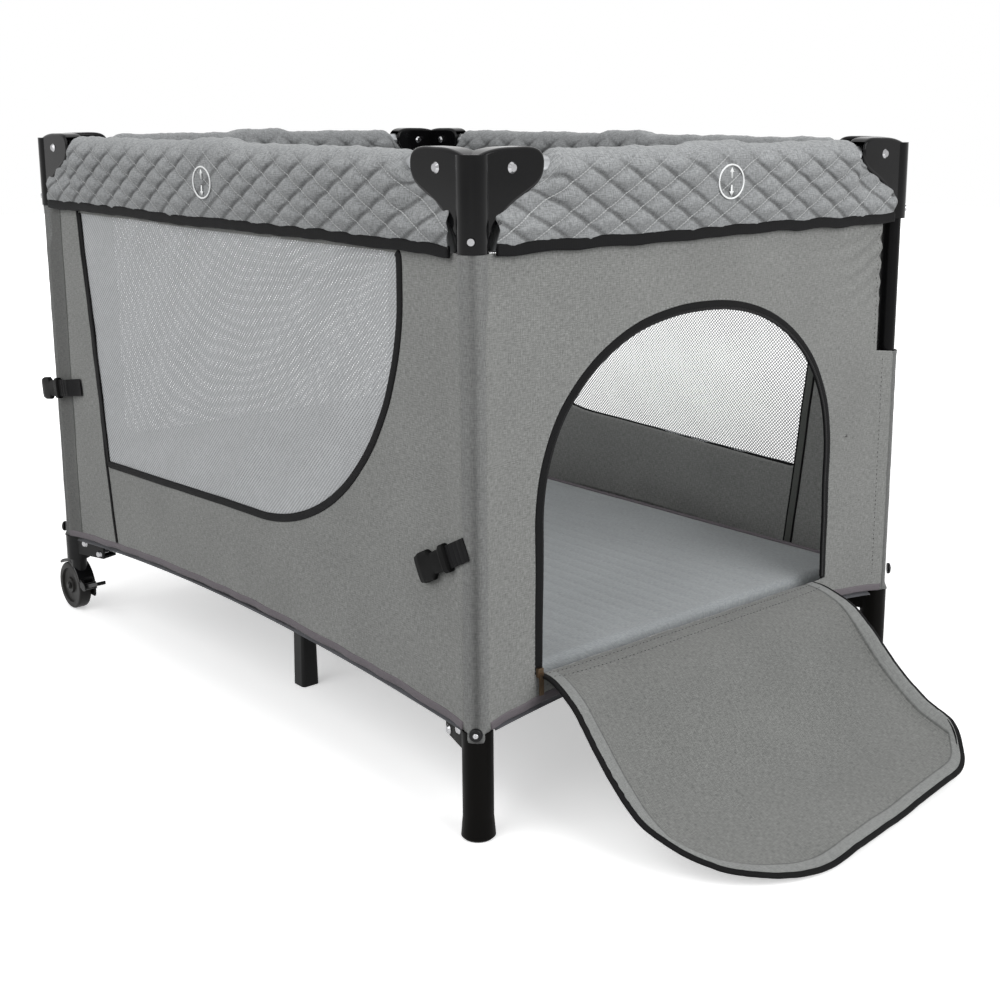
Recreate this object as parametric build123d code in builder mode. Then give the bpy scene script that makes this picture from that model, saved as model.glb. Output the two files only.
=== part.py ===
from build123d import *
import os
from math import atan2, cos, degrees, hypot, radians, sin, sqrt

# Folding playpen with a zipped door. Millimetres, +Z up, origin on the floor under the middle of the posts.
# The door is on the +X end, the two castors are on the -X end, and the front long side is at -Y.
# A corner piece is drawn once at the wheel-front corner, with its post axis on Z, and mirrored to the others.
# A rail, cover or wall is drawn once for the front side and turned about Z to the other sides.

os.makedirs("parts", exist_ok=True)

# Overall frame
LENGTH = 1010.0          # between post axes along X
WIDTH = 728.0            # between post axes along Y
TOP_Z = 757.0            # tops of the corner caps
FIT = 0.4                # gap between pieces that move on each other
SEAT = 0.15              # gap between pieces fixed to each other
CLOTH_GAP = 0.5          # gap between a cloth piece and its neighbour

# Posts, rails and their pivots
POST_OD = 24.0
POST_WALL = 1.2
RAIL_OD = 22.0
RAIL_WALL = 1.2
RAIL_DROP = 21.0         # rail pivots below the tops of the caps
RAIL_PIVOT = 42.0        # from a post axis to the rail pivots beside it
RAIL_TAIL = 10.0         # rail past its pivot, towards the post
PIN_D = 6.0
HEAD_D = 12.0
HEAD_H = 2.4
HEAD_TAPER = 40.0        # degrees

# Corner caps
CAP_WALL = 2.6
CAP_REACH = 88.0         # wing length from the post axis
CAP_LOBE = 42.0          # distance of a wing's crown from the post axis
CAP_NOTCH = 7.0          # dip between the two crowns
CAP_SADDLE = 0.4         # slope out of that dip towards a crown
CAP_BLUNT = 17.0         # drop from the crown to the wing's blunt end
CAP_HIP = (66.0, 46.0)   # S curve under a wing: out from the post axis, down from the crown
CAP_WAIST = (33.0, 66.0)
CAP_HEIGHT = 107.0       # crown to tail
CAP_ROUND = 4.0          # rounding of the wing plates' outer edges
CAP_SCREW_UP = 13.0      # screw above the tail
SCREW_D = 9.0
SCREW_H = 2.6
SCREW_TAPER = 15.0       # degrees

# Centre locks of the rails
LOCK_REACH = 54.0        # from the lock pivot to each tube's end
LOCK_OVERLAP = 14.0      # lock plates inside each tube
TONGUE_T = 7.0
TONGUE_R = 9.5
LOCK_CHEEK_T = 3.5
LOCK_DROP = 26.0         # button tab below the rail axis
LOCK_TAB = 26.0          # length of the button tab
BUTTON_D = 12.0
BUTTON_HEAD_D = 18.0
BUTTON_HEAD_H = 4.0
BUTTON_ROUND = 1.3
BUTTON_STROKE = 5.0
BUTTON_ALONG = 27.0      # along the rail from the lock pivot
BUTTON_DROP = 18.0

# Base truss
BASE_Z = 118.0           # height of every base pivot
BASE_PIVOT_X = 27.0      # base pivot from its post axis
BASE_PIVOT_Y = 10.0
BASE_SWEEP = 147.0       # how far a base tube runs inwards along Y
BASE_OD = 18.0
BASE_TAIL = 6.0          # base tube past its corner pivot
LINK_OD = 16.0
BASE_WALL = 1.2
LUG_T = 6.0
LUG_R = 9.0
LUG_REACH = 18.5         # from a hinge with lugs to where the round tube begins
LUG_OVERLAP = 6.0        # lug inside the tube
CHEEK_T = 3.5
CHEEK_REACH = 14.0       # hinge cheeks past the pivot
CHEEK_BACK = 8.0         # hinge cheeks behind the pivot
CHEEK_DOWN = 10.0
PLATE_UP = 11.0          # underside of the bracket plates above the pivots
PLATE_T = 4.0
LINK_STEP = 18.0         # from the base tube hinges to the cross link hinge, along Y
MID_LEG_OUT = 57.0       # from the base tube hinges out to the middle leg
MID_LEG_W = 27.0         # foot width of the middle leg
MID_LEG_ROUND = 5.4
MID_LEG_TAPER = 1.0      # degrees
HUB_HALF_X = 24.0
HUB_HALF_Y = 30.0

# Feet, corner troughs and castors
FOOT_R = 17.6
FOOT_FLARE = 2.0
FOOT_FLARE_H = 26.0
FOOT_CHAMFER = 2.5
FOOT_SOCKET_Z = 30.0
TROUGH_REACH = 40.0      # trough past the base pivot
TROUGH_UP = 10.0
TROUGH_WEB = 3.0
STOP_ALONG = 31.0        # stop rivet under the base tube
CASTOR_Z = 89.0          # underside of the castor bracket
CASTOR_FLOOR = 18.0      # solid depth of the bracket under the post
WHEEL_R = 38.0
WHEEL_W = 20.0
WHEEL_RECESS = 3.0
WHEEL_DRAFT = 20.0       # degrees
TREAD_ROUND = 3.3
WHEEL_RIM_R = 28.0
WHEEL_HUB_R = 12.0
WHEEL_TRAIL = 20.0       # wheel axle outboard of the swivel axis
AXLE_D = 8.0
HOOD_GAP = 3.0
HOOD_T = 3.0
HOOD_SIDE = 1.5
HOOD_SKIRT = 12.5        # side plate below the axle
HOOD_FROM = 20.0         # hood arc in degrees, from the inboard end
HOOD_TO = 128.0
BOSS_R = 12.0
STEM_D = 10.0
STEM_UP = 15.0
BRAKE_X = 31.0           # brake pivot from the swivel axis
BRAKE_Z = 47.0
BRAKE_W = 14.0
BRAKE_HUB_R = 5.5
BRAKE_T = 6.0
BRAKE_ROUND = 2.0
BRAKE_REACH = 46.0
BRAKE_RISE = 16.0
BRAKE_PIN_D = 4.0
EAR_T = 3.0
EAR_R = 6.5

# Fabric
SLEEVE_T = 2.2
HEM_ARCH = 26.0          # rise of the hem in the middle of a side
WALL_OUT = 9.0           # inner face of the walls outside the post axes
WALL_T = 2.0
BARE_POST_Z = 470.0      # top of the short sleeve at the door-back post
COVER_DEPTH = 100.0
COVER_CROWN = 5.0        # cover tops below the tops of the caps
COVER_HALF = 20.0
COVER_SHOULDER = 40.0    # from the crown to where the cover starts to taper
COVER_FOOT_OUT = 16.0
COVER_FOOT_IN = 6.0
COVER_ROOM = 2.0         # around the rail inside the cover
NET_T = 1.0
NET_STRAND = 4.0
NET_PITCH = 36.0
WINDOW_DROP = 5.0        # head of a window below the head of its wall
LONG_HEAD_LEFT = 400.0   # windows of the long sides, from the middle of the side
LONG_FOOT_LEFT = 355.0
LONG_RIGHT = 392.0
LONG_ROUND = 320.0
LONG_SILL_LEFT_Z = 272.0
LONG_SILL_RIGHT_Z = 296.0    # where the sill's line meets the right side
WHEEL_HALF = 270.0       # window of the wheel end
WHEEL_SILL_Z = 268.0
DOOR_MID_Y = -27.0
DOOR_HALF = 257.0        # half the doorway's width
DOOR_SILL_Z = 170.0
DOOR_SIDE = 187.0        # straight side of the doorway under its arch
DOOR_RISE = 210.0        # height of the arch

# Floor, mattress, flap, zip and straps
FLOOR_T = 1.5
MATTRESS_T = 34.0
MATTRESS_GAP = 8.0       # from the mattress to the posts' sleeves
MATTRESS_CROWN = 3.0
MATTRESS_WAIST = 5.0     # how far each side is drawn in
MATTRESS_CORNER = 27.0   # rounding of the corners seen from above
CHANNELS = 27
CHANNEL_W = 6.0
CHANNEL_DEPTH = 1.2
CHANNEL_MARGIN = 18.0    # channels stop short of the drawn-in ends
FLAP_T = 2.0
FLAP_REACH = 314.0       # sill to tip, as it lies
FLAP_SHELF = 44.0
FLAP_KNEE_X = 154.0
FLAP_KNEE_DROP = 121.0
FLAP_LIFT = 1.0
FLAP_BENDS = (85.0, 260.0)
FLAP_TIP_R = 175.0
FLAP_CORNER_R = 64.0
FLAP_SKEW = 50.0         # the tip is this much shorter at the back corner
FLAP_FRONT_EDGE = 8.0    # narrower than the doorway at the front
FLAP_BACK_EDGE = 24.0    # and at the back
SLIDER_W = 8.0
SLIDER_H = 12.0
SLIDER_T = 4.0
SLIDER_ROUND = 2.0
TAB_W = 6.0
TAB_H = 20.0
TAB_T = 1.5
STRAP_W = 26.0
STRAP_T = 1.5
STRAP_L = 26.0
BUCKLE_L = 44.0
BUCKLE_H = 36.0
BUCKLE_T = 11.0
BUCKLE_WALL = 2.5
BUCKLE_BACK = 7.5        # solid end behind the mouth
BUCKLE_SIDE = 5.0
BUCKLE_ROUND = 6.0
DOOR_STRAP_Z = 336.0
DOOR_STRAP_TILT = 27.0
WHEEL_STRAP_Z = 374.0

# Sizes that follow from those above
HALF_L = LENGTH / 2
HALF_W = WIDTH / 2
PIN_R = PIN_D / 2
POST_R = POST_OD / 2
RAIL_R = RAIL_OD / 2
RAIL_Z = TOP_Z - RAIL_DROP
SLEEVE_IN = POST_R + 2 * SEAT
SLEEVE_R = SLEEVE_IN + SLEEVE_T
CHANNEL_HALF = RAIL_R + FIT
WING_HALF = CHANNEL_HALF + CAP_WALL
COLUMN_R = SLEEVE_R + CAP_WALL
CAP_TAIL_Z = TOP_Z - CAP_HEIGHT
CAP_NOTCH_Z = TOP_Z - CAP_NOTCH
MID_HINGE_X = RAIL_PIVOT - BASE_PIVOT_X
HUB_HINGE_Y = RAIL_PIVOT - BASE_PIVOT_Y - LINK_STEP
MID_HINGE_Y = HALF_W - BASE_PIVOT_Y - BASE_SWEEP
LINK_LENGTH = HALF_W - RAIL_PIVOT - BASE_SWEEP
BASE_RUN = HALF_L - RAIL_PIVOT
BASE_LENGTH = hypot(BASE_RUN, BASE_SWEEP)
BASE_ANGLE = degrees(atan2(BASE_SWEEP, BASE_RUN))
BASE_DIR = (cos(radians(BASE_ANGLE)), sin(radians(BASE_ANGLE)), 0)
BASE_NORMAL = (sin(radians(BASE_ANGLE)), -cos(radians(BASE_ANGLE)), 0)
CHEEK_IN = LUG_T / 2 + FIT
CHEEK_OUT = CHEEK_IN + CHEEK_T
TROUGH_IN = BASE_OD / 2 + FIT
TROUGH_OUT = TROUGH_IN + CHEEK_T
LOCK_IN = TONGUE_T / 2 + FIT
LOCK_OUT = LOCK_IN + LOCK_CHEEK_T
FOOT_TOP_Z = BASE_Z + TROUGH_UP
HEM_Z = FOOT_TOP_Z + CLOTH_GAP
FLOOR_Z = BASE_Z + PLATE_UP + PLATE_T + CLOTH_GAP
MATTRESS_Z = FLOOR_Z + FLOOR_T + CLOTH_GAP
HOOD_IN = WHEEL_R + HOOD_GAP
HOOD_R = HOOD_IN + HOOD_T
HOOD_HALF = WHEEL_W / 2 + HOOD_SIDE
COVER_TOP_Z = TOP_Z - COVER_CROWN
COVER_FOOT_Z = COVER_TOP_Z - COVER_DEPTH
WALL_FACE = WALL_OUT + WALL_T
WALL_HEAD_Z = min(COVER_FOOT_Z, CAP_TAIL_Z) - CLOTH_GAP
WALL_START = sqrt(SLEEVE_R**2 - WALL_FACE**2) - SEAT
WALL_END = sqrt((SLEEVE_R + CLOTH_GAP) ** 2 - WALL_OUT**2) + SEAT
WINDOW_HEAD_Z = WALL_HEAD_Z - WINDOW_DROP
FLAP_HINGE_X = HALF_L + WALL_FACE + CLOTH_GAP
STRAP_OUT = SLEEVE_R + SEAT + STRAP_T / 2
BUCKLE_OUT = WALL_FACE + SEAT + BUCKLE_T / 2

CORNERS = {"door_front": (1, -1), "door_back": (1, 1), "wheel_front": (-1, -1), "wheel_back": (-1, 1)}
# Each side's turn about Z from the front, and half its span
SIDES = {"front": (0, HALF_L), "door": (90, HALF_W), "back": (180, HALF_L), "wheel": (270, HALF_W)}
# The rail half with the lock cheeks, and the one with the lock tongue
CHEEK_HALVES = {"front": "door", "door": "back", "back": "wheel", "wheel": "front"}
TONGUE_HALVES = {"front": "wheel", "door": "front", "back": "door", "wheel": "back"}
BASE_PLANE = Plane((BASE_PIVOT_X, BASE_PIVOT_Y, BASE_Z), x_dir=BASE_DIR, z_dir=BASE_NORMAL)
FRONT_PLANE = Plane((0, 0, 0), x_dir=(1, 0, 0), z_dir=(0, -1, 0))
SCREW_PLANE = Plane((0, 0, CAP_TAIL_Z + CAP_SCREW_UP), x_dir=(0, 0, 1), z_dir=(-1, -1, 0))
DIAGONAL = Plane((0, 0, 0), x_dir=(0, 0, 1), z_dir=(1, -1, 0))


def keep(shape, name):
    """Label a finished piece and write its file."""
    shape.label = name
    export_step(shape, f"parts/{name}.step")


def placed(shape, location):
    """A copy of a piece at a location."""
    with BuildPart() as copy:
        with Locations(location):
            add(shape)
    return copy.part


def mirrored(shape, plane):
    """A copy of a piece mirrored over a plane."""
    with BuildPart() as copy:
        mirror(shape, about=plane)
    return copy.part


def at_corner(shape, corner):
    """A piece drawn at the wheel-front corner, mirrored and moved to the named corner."""
    x_sign, y_sign = CORNERS[corner]
    if x_sign > 0:
        shape = mirrored(shape, Plane.YZ)
    if y_sign > 0:
        shape = mirrored(shape, Plane.XZ)
    return placed(shape, Location((x_sign * HALF_L, y_sign * HALF_W, 0)))


def at_side(shape, side):
    """A piece drawn along X with its outside at -Y and the post axes at y = 0, turned to the named side."""
    turn = SIDES[side][0]
    out = (sin(radians(turn)) * HALF_L, -cos(radians(turn)) * HALF_W, 0)
    return placed(shape, Location(out, (0, 0, turn)))


def rivet(plane, grip):
    """A rivet along the plane's normal, with a domed head at both ends of its grip."""
    with BuildPart() as pin:
        with BuildSketch(plane):
            Circle(PIN_R)
        extrude(amount=grip, both=True)
        for side in (1, -1):
            with BuildSketch(plane.offset(side * (grip + SEAT))):
                Circle(HEAD_D / 2)
            extrude(amount=side * HEAD_H, taper=HEAD_TAPER)
            with BuildSketch(plane.offset(side * grip)):
                Circle(PIN_R)
            extrude(amount=side * HEAD_H / 2)
    return pin.part


def wing(half_width, grow, rounding):
    """A cap wing along +X: a crowned lobe with a blunt end and an S curve down to the tail."""
    reach = CAP_REACH + grow
    crown, notch, tail = TOP_Z + grow, CAP_NOTCH_Z + grow, CAP_TAIL_Z - grow
    blunt = TOP_Z - CAP_BLUNT
    hip = (CAP_HIP[0] + grow, TOP_Z - CAP_HIP[1] - grow)
    waist = (CAP_WAIST[0] + grow, TOP_Z - CAP_WAIST[1] - grow)
    with BuildPart() as solid:
        with BuildSketch(FRONT_PLANE):
            with BuildLine():
                Spline((0, notch), (CAP_LOBE, crown), tangents=((1, CAP_SADDLE), (1, 0)))
                Spline((CAP_LOBE, crown), (reach, blunt), tangents=((1, 0), (0, -1)))
                Spline((reach, blunt), hip, waist, (0, tail), tangents=((0, -1), (-1, -1)))
                Line((0, tail), (0, notch))
            make_face()
        extrude(amount=half_width, both=True)
        if rounding:
            sides = solid.faces().filter_by(Axis.Y)
            fillet([e for e in sides.edges() if e.center().X > rounding], rounding)
    return solid.part


def corner_cap():
    """Moulded corner cap: a post socket with two channel wings in which the rails pivot."""
    solid_wing = wing(WING_HALF, 0, CAP_ROUND)
    with BuildPart() as channel:
        with BuildSketch(Plane.YZ.offset(COLUMN_R + FIT)):
            with Locations((0, TOP_Z - 2 * CAP_WALL)):
                Rectangle(2 * CHANNEL_HALF, CAP_HEIGHT, align=(Align.CENTER, Align.MAX))
        extrude(amount=CAP_REACH)
        with BuildSketch(FRONT_PLANE):
            with Locations((RAIL_PIVOT, RAIL_Z)):
                Circle(PIN_R + SEAT)
        extrude(amount=2 * WING_HALF, both=True)
    with BuildPart() as cap:
        with BuildSketch(Plane.XY.offset(CAP_TAIL_Z)):
            Circle(COLUMN_R)
        extrude(amount=CAP_NOTCH_Z - CAP_TAIL_Z)
        add(solid_wing)
        add(mirrored(solid_wing, DIAGONAL))
        add(channel.part, mode=Mode.SUBTRACT)
        add(mirrored(channel.part, DIAGONAL), mode=Mode.SUBTRACT)
        with BuildSketch(Plane.XY.offset(CAP_TAIL_Z)):
            Circle(POST_R + SEAT)
        extrude(amount=CAP_NOTCH_Z - CAP_TAIL_Z - CAP_WALL, mode=Mode.SUBTRACT)
        with BuildSketch(SCREW_PLANE.offset(COLUMN_R - SCREW_H / 2)):
            Circle(SCREW_D / 2 + SEAT)
        extrude(amount=COLUMN_R, mode=Mode.SUBTRACT)
    return cap.part


def corner_fasteners():
    """Rail pivot rivets, tail screw, base pivot rivet and trough stop rivet of one corner."""
    rail_plane = Plane((RAIL_PIVOT, 0, RAIL_Z), x_dir=(1, 0, 0), z_dir=(0, -1, 0))
    rail_rivet = rivet(rail_plane, WING_HALF)
    stop = Plane(BASE_PLANE.from_local_coords((STOP_ALONG, -TROUGH_IN - PIN_R - FIT, 0)),
                 x_dir=BASE_DIR, z_dir=BASE_NORMAL)
    with BuildPart() as group:
        add(rail_rivet)
        add(mirrored(rail_rivet, DIAGONAL))
        add(rivet(BASE_PLANE, TROUGH_OUT))
        add(rivet(stop, TROUGH_OUT))
        with BuildSketch(SCREW_PLANE.offset(COLUMN_R - SCREW_H / 2 + SEAT)):
            Circle(SCREW_D / 2)
        extrude(amount=SCREW_H, taper=SCREW_TAPER)
    return group.part


def post(foot_z):
    """Corner post tube from its foot socket into the cap."""
    with BuildPart() as tube:
        with BuildSketch(Plane.XY.offset(foot_z)):
            Circle(POST_R)
            Circle(POST_R - POST_WALL, mode=Mode.SUBTRACT)
        extrude(amount=CAP_NOTCH_Z - CAP_WALL - SEAT - foot_z)
    return tube.part


def trough():
    """Bracket trough along the base tube: two cheeks, a web under the tube and a gusset down the foot."""
    back = hypot(BASE_PIVOT_X, BASE_PIVOT_Y)
    web_z = -TROUGH_IN - PIN_D - 2 * FIT
    with BuildPart() as bracket:
        with BuildSketch(BASE_PLANE):
            with BuildLine():
                Polyline(
                    (-back, TROUGH_UP),
                    (TROUGH_REACH, TROUGH_UP),
                    (TROUGH_REACH, web_z - TROUGH_WEB),
                    (-back, web_z - TROUGH_WEB),
                    close=True,
                )
            make_face()
        extrude(amount=TROUGH_OUT, both=True)
        with BuildSketch(BASE_PLANE):
            with BuildLine():
                Polyline(
                    (-back / 2 - BASE_TAIL / 2, web_z),
                    (TROUGH_REACH + FIT, web_z),
                    (TROUGH_REACH + FIT, TROUGH_UP + FIT),
                    (-back / 2 - BASE_TAIL / 2, TROUGH_UP + FIT),
                    close=True,
                )
            make_face()
        extrude(amount=TROUGH_IN, both=True, mode=Mode.SUBTRACT)
        with BuildSketch(BASE_PLANE):
            Circle(PIN_R + SEAT)
            with Locations((STOP_ALONG, -TROUGH_IN - PIN_R - FIT)):
                Circle(PIN_R + SEAT)
        extrude(amount=TROUGH_OUT, both=True, mode=Mode.SUBTRACT)
    return bracket.part


def swing_room():
    """Room for the base tube's end as it swings up beside the post."""
    with BuildPart() as room:
        with BuildSketch(BASE_PLANE):
            Circle(hypot(BASE_TAIL, BASE_OD / 2) + FIT)
        extrude(amount=TROUGH_IN, both=True)
    return room.part


def foot():
    """Door-end foot: a flared leg with a blind post socket and the base trough."""
    with BuildPart() as leg:
        with BuildSketch(Plane.XZ):
            with BuildLine():
                Polyline(
                    (0, 0),
                    (FOOT_R + FOOT_FLARE - FOOT_CHAMFER, 0),
                    (FOOT_R + FOOT_FLARE, FOOT_CHAMFER),
                    (FOOT_R, FOOT_FLARE_H),
                    (FOOT_R, FOOT_TOP_Z),
                    (0, FOOT_TOP_Z),
                    close=True,
                )
            make_face()
        revolve(axis=Axis.Z)
        add(trough())
        with BuildSketch(Plane.XY.offset(FOOT_SOCKET_Z)):
            Circle(POST_R + SEAT)
        extrude(amount=FOOT_TOP_Z, mode=Mode.SUBTRACT)
        add(swing_room(), mode=Mode.SUBTRACT)
    return leg.part


def castor_bracket():
    """Wheel-end bracket: a post socket over the castor's swivel bore, with the base trough."""
    with BuildPart() as bracket:
        with BuildSketch(Plane.XY.offset(CASTOR_Z)):
            Circle(FOOT_R)
        extrude(amount=FOOT_TOP_Z - CASTOR_Z)
        add(trough())
        with BuildSketch(Plane.XY.offset(CASTOR_Z + CASTOR_FLOOR)):
            Circle(POST_R + SEAT)
        extrude(amount=FOOT_TOP_Z, mode=Mode.SUBTRACT)
        with BuildSketch(Plane.XY.offset(CASTOR_Z)):
            Circle(STEM_D / 2 + FIT)
        extrude(amount=STEM_UP + FIT, mode=Mode.SUBTRACT)
        add(swing_room(), mode=Mode.SUBTRACT)
    return bracket.part


def castor_hood():
    """Swivel hood: a fender over the wheel, one side plate with the axle, a stem and the brake's ears."""
    wheel = Plane((-WHEEL_TRAIL, 0, WHEEL_R), x_dir=(1, 0, 0), z_dir=(0, -1, 0))
    brake = Plane((BRAKE_X, 0, BRAKE_Z), x_dir=(1, 0, 0), z_dir=(0, -1, 0))
    fender_end = (
        (HOOD_R - HOOD_T / 2) * cos(radians(HOOD_FROM)) - WHEEL_TRAIL - BRAKE_X,
        (HOOD_R - HOOD_T / 2) * sin(radians(HOOD_FROM)) + WHEEL_R - BRAKE_Z,
    )
    far = 2 * HOOD_R
    with BuildPart() as hood:
        with BuildSketch(wheel):
            Circle(HOOD_R)
            with BuildLine():
                Polyline(
                    (0, 0),
                    (far * cos(radians(HOOD_FROM)), far * sin(radians(HOOD_FROM))),
                    (0, 2 * far),
                    (far * cos(radians(HOOD_TO)), far * sin(radians(HOOD_TO))),
                    close=True,
                )
            make_face(mode=Mode.INTERSECT)
        extrude(amount=HOOD_HALF, both=True)
        with BuildSketch(Plane.XY.offset(WHEEL_R)):
            Circle(BOSS_R)
        extrude(amount=CASTOR_Z - FIT - WHEEL_R)
        with BuildSketch(brake):
            Circle(EAR_R)
            with BuildLine():
                Polyline(
                    (0, -EAR_R),
                    (0, EAR_R),
                    (fender_end[0], fender_end[1] + EAR_R),
                    (fender_end[0] - EAR_R, fender_end[1] - EAR_R),
                    close=True,
                )
            make_face()
        extrude(amount=BRAKE_W / 2 + FIT + EAR_T, both=True)
        with BuildSketch(wheel):
            Circle(HOOD_IN)
        extrude(amount=far, both=True, mode=Mode.SUBTRACT)
        with BuildSketch(brake):
            with Locations((BRAKE_REACH / 2 - EAR_R, 0)):
                Rectangle(BRAKE_REACH, 2 * far)
        extrude(amount=BRAKE_W / 2 + FIT, both=True, mode=Mode.SUBTRACT)
        with BuildSketch(wheel.offset(-HOOD_HALF)):
            Circle(HOOD_R)
            with Locations((0, -HOOD_SKIRT)):
                Rectangle(far, far, align=(Align.CENTER, Align.MAX), mode=Mode.SUBTRACT)
            Circle(AXLE_D / 2 + SEAT, mode=Mode.SUBTRACT)
        extrude(amount=-HOOD_T)
        with BuildSketch(brake):
            Circle(BRAKE_PIN_D / 2 + SEAT)
        extrude(amount=far, both=True, mode=Mode.SUBTRACT)
        with BuildSketch(Plane.XY.offset(CASTOR_Z - FIT)):
            Circle(STEM_D / 2)
        extrude(amount=STEM_UP)
    with BuildPart() as pins:
        with BuildSketch(wheel.offset(-HOOD_HALF - HOOD_T)):
            Circle(AXLE_D / 2)
        extrude(amount=2 * HOOD_HALF + HOOD_T)
        with BuildSketch(wheel.offset(HOOD_HALF)):
            Circle(AXLE_D / 2 + HEAD_H)
        extrude(amount=HEAD_H, taper=HEAD_TAPER)
        with BuildSketch(brake):
            Circle(BRAKE_PIN_D / 2)
        extrude(amount=BRAKE_W / 2 + FIT + EAR_T, both=True)
    with BuildPart() as group:
        add(hood.part)
        add(pins.part)
    return group.part


def castor_wheel():
    """Moulded wheel with a rounded tread, recessed faces and an axle bore."""
    half = WHEEL_W / 2
    with BuildPart() as wheel:
        with BuildSketch(Plane.XY):
            with BuildLine():
                Polyline((-half, 0), (-half, WHEEL_R), (half, WHEEL_R), (half, 0), close=True)
            make_face()
        revolve(axis=Axis.X)
        fillet(wheel.faces().filter_by(Axis.X).edges(), TREAD_ROUND)
        for side in (1, -1):
            with BuildSketch(Plane.YZ.offset(side * half)):
                Circle(WHEEL_RIM_R)
                Circle(WHEEL_HUB_R, mode=Mode.SUBTRACT)
            extrude(amount=-side * WHEEL_RECESS, taper=WHEEL_DRAFT, mode=Mode.SUBTRACT)
        with BuildSketch(Plane.YZ):
            Circle(AXLE_D / 2 + FIT)
        extrude(amount=half, both=True, mode=Mode.SUBTRACT)
    return placed(wheel.part, Location((-WHEEL_TRAIL, 0, WHEEL_R), (0, 0, 90)))


def brake_lever():
    """Foot brake: a paddle on a pivot hub between the hood's ears."""
    brake = Plane((BRAKE_X, 0, BRAKE_Z), x_dir=(1, 0, 0), z_dir=(0, -1, 0))
    with BuildPart() as lever:
        with BuildSketch(brake):
            Circle(BRAKE_HUB_R)
            with BuildLine():
                Polyline(
                    (0, -BRAKE_T / 2),
                    (BRAKE_REACH, BRAKE_RISE - BRAKE_T / 2),
                    (BRAKE_REACH, BRAKE_RISE + BRAKE_T / 2),
                    (0, BRAKE_T / 2),
                    close=True,
                )
            make_face()
        extrude(amount=BRAKE_W / 2, both=True)
        fillet(lever.edges().filter_by(Axis.Y).sort_by(Axis.X)[-2:], BRAKE_ROUND)
        with BuildSketch(brake):
            Circle(BRAKE_PIN_D / 2 + FIT)
        extrude(amount=BRAKE_W, both=True, mode=Mode.SUBTRACT)
    return lever.part


def rail_tube(half_span):
    """Round part of a rail half along +X, from its lock to past its cap pivot."""
    pivot = half_span - RAIL_PIVOT
    with BuildPart() as tube:
        with BuildSketch(Plane.YZ.offset(LOCK_REACH)):
            with Locations((0, RAIL_Z)):
                Circle(RAIL_R)
                Circle(RAIL_R - RAIL_WALL, mode=Mode.SUBTRACT)
        extrude(amount=pivot + RAIL_TAIL - LOCK_REACH)
        with BuildSketch(FRONT_PLANE):
            with Locations((pivot, RAIL_Z)):
                Circle(PIN_R + FIT)
        extrude(amount=RAIL_OD, both=True, mode=Mode.SUBTRACT)
    return tube.part


def rail_cheek_half(half_span):
    """Rail half along +X with the lock's two cheeks, and the lock pin as a solid of its own."""
    length = LOCK_REACH + LOCK_OVERLAP
    lock = Plane((0, 0, RAIL_Z), x_dir=(1, 0, 0), z_dir=(0, -1, 0))
    with BuildPart() as cheeks:
        for start in (LOCK_IN, -LOCK_OUT):
            with BuildSketch(lock.offset(start)):
                Circle(RAIL_R)
                Rectangle(length, RAIL_OD - 2 * RAIL_WALL, align=(Align.MIN, Align.CENTER))
                with Locations((BUTTON_ALONG, 0)):
                    Rectangle(LOCK_TAB, LOCK_DROP, align=(Align.CENTER, Align.MAX))
                Circle(PIN_R + SEAT, mode=Mode.SUBTRACT)
            extrude(amount=LOCK_CHEEK_T)
        with BuildSketch(lock.offset(LOCK_IN)):
            with Locations((BUTTON_ALONG, -BUTTON_DROP)):
                Circle(BUTTON_D / 2 + FIT)
        extrude(amount=LOCK_CHEEK_T, mode=Mode.SUBTRACT)
        add(rail_tube(half_span))
    with BuildPart() as group:
        add(cheeks.part)
        add(rivet(lock, LOCK_OUT))
    return group.part


def rail_tongue_half(half_span):
    """Rail half along -X with the lock's tongue."""
    length = LOCK_REACH + LOCK_OVERLAP
    lock = Plane((0, 0, RAIL_Z), x_dir=(1, 0, 0), z_dir=(0, -1, 0))
    with BuildPart() as half:
        with BuildSketch(lock):
            Circle(TONGUE_R)
            Rectangle(length, 2 * TONGUE_R, align=(Align.MAX, Align.CENTER))
            Circle(PIN_R + FIT, mode=Mode.SUBTRACT)
        extrude(amount=TONGUE_T / 2, both=True)
        add(mirrored(rail_tube(half_span), Plane.YZ))
    return half.part


def latch_button():
    """Release button in the outer lock cheek, with its head outside by one stroke."""
    outside = LOCK_OUT + BUTTON_STROKE
    spot = Plane((BUTTON_ALONG, 0, RAIL_Z - BUTTON_DROP), x_dir=(1, 0, 0), z_dir=(0, -1, 0))
    with BuildPart() as button:
        with BuildSketch(spot.offset(outside)):
            Circle(BUTTON_HEAD_D / 2)
        extrude(amount=BUTTON_HEAD_H)
        fillet(button.faces().sort_by(Axis.Y)[0].edges(), BUTTON_ROUND)
        with BuildSketch(spot.offset(outside)):
            Circle(BUTTON_D / 2)
        extrude(amount=-(outside - BUTTON_STROKE + LOCK_IN - 2 * FIT))
    return button.part


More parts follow.
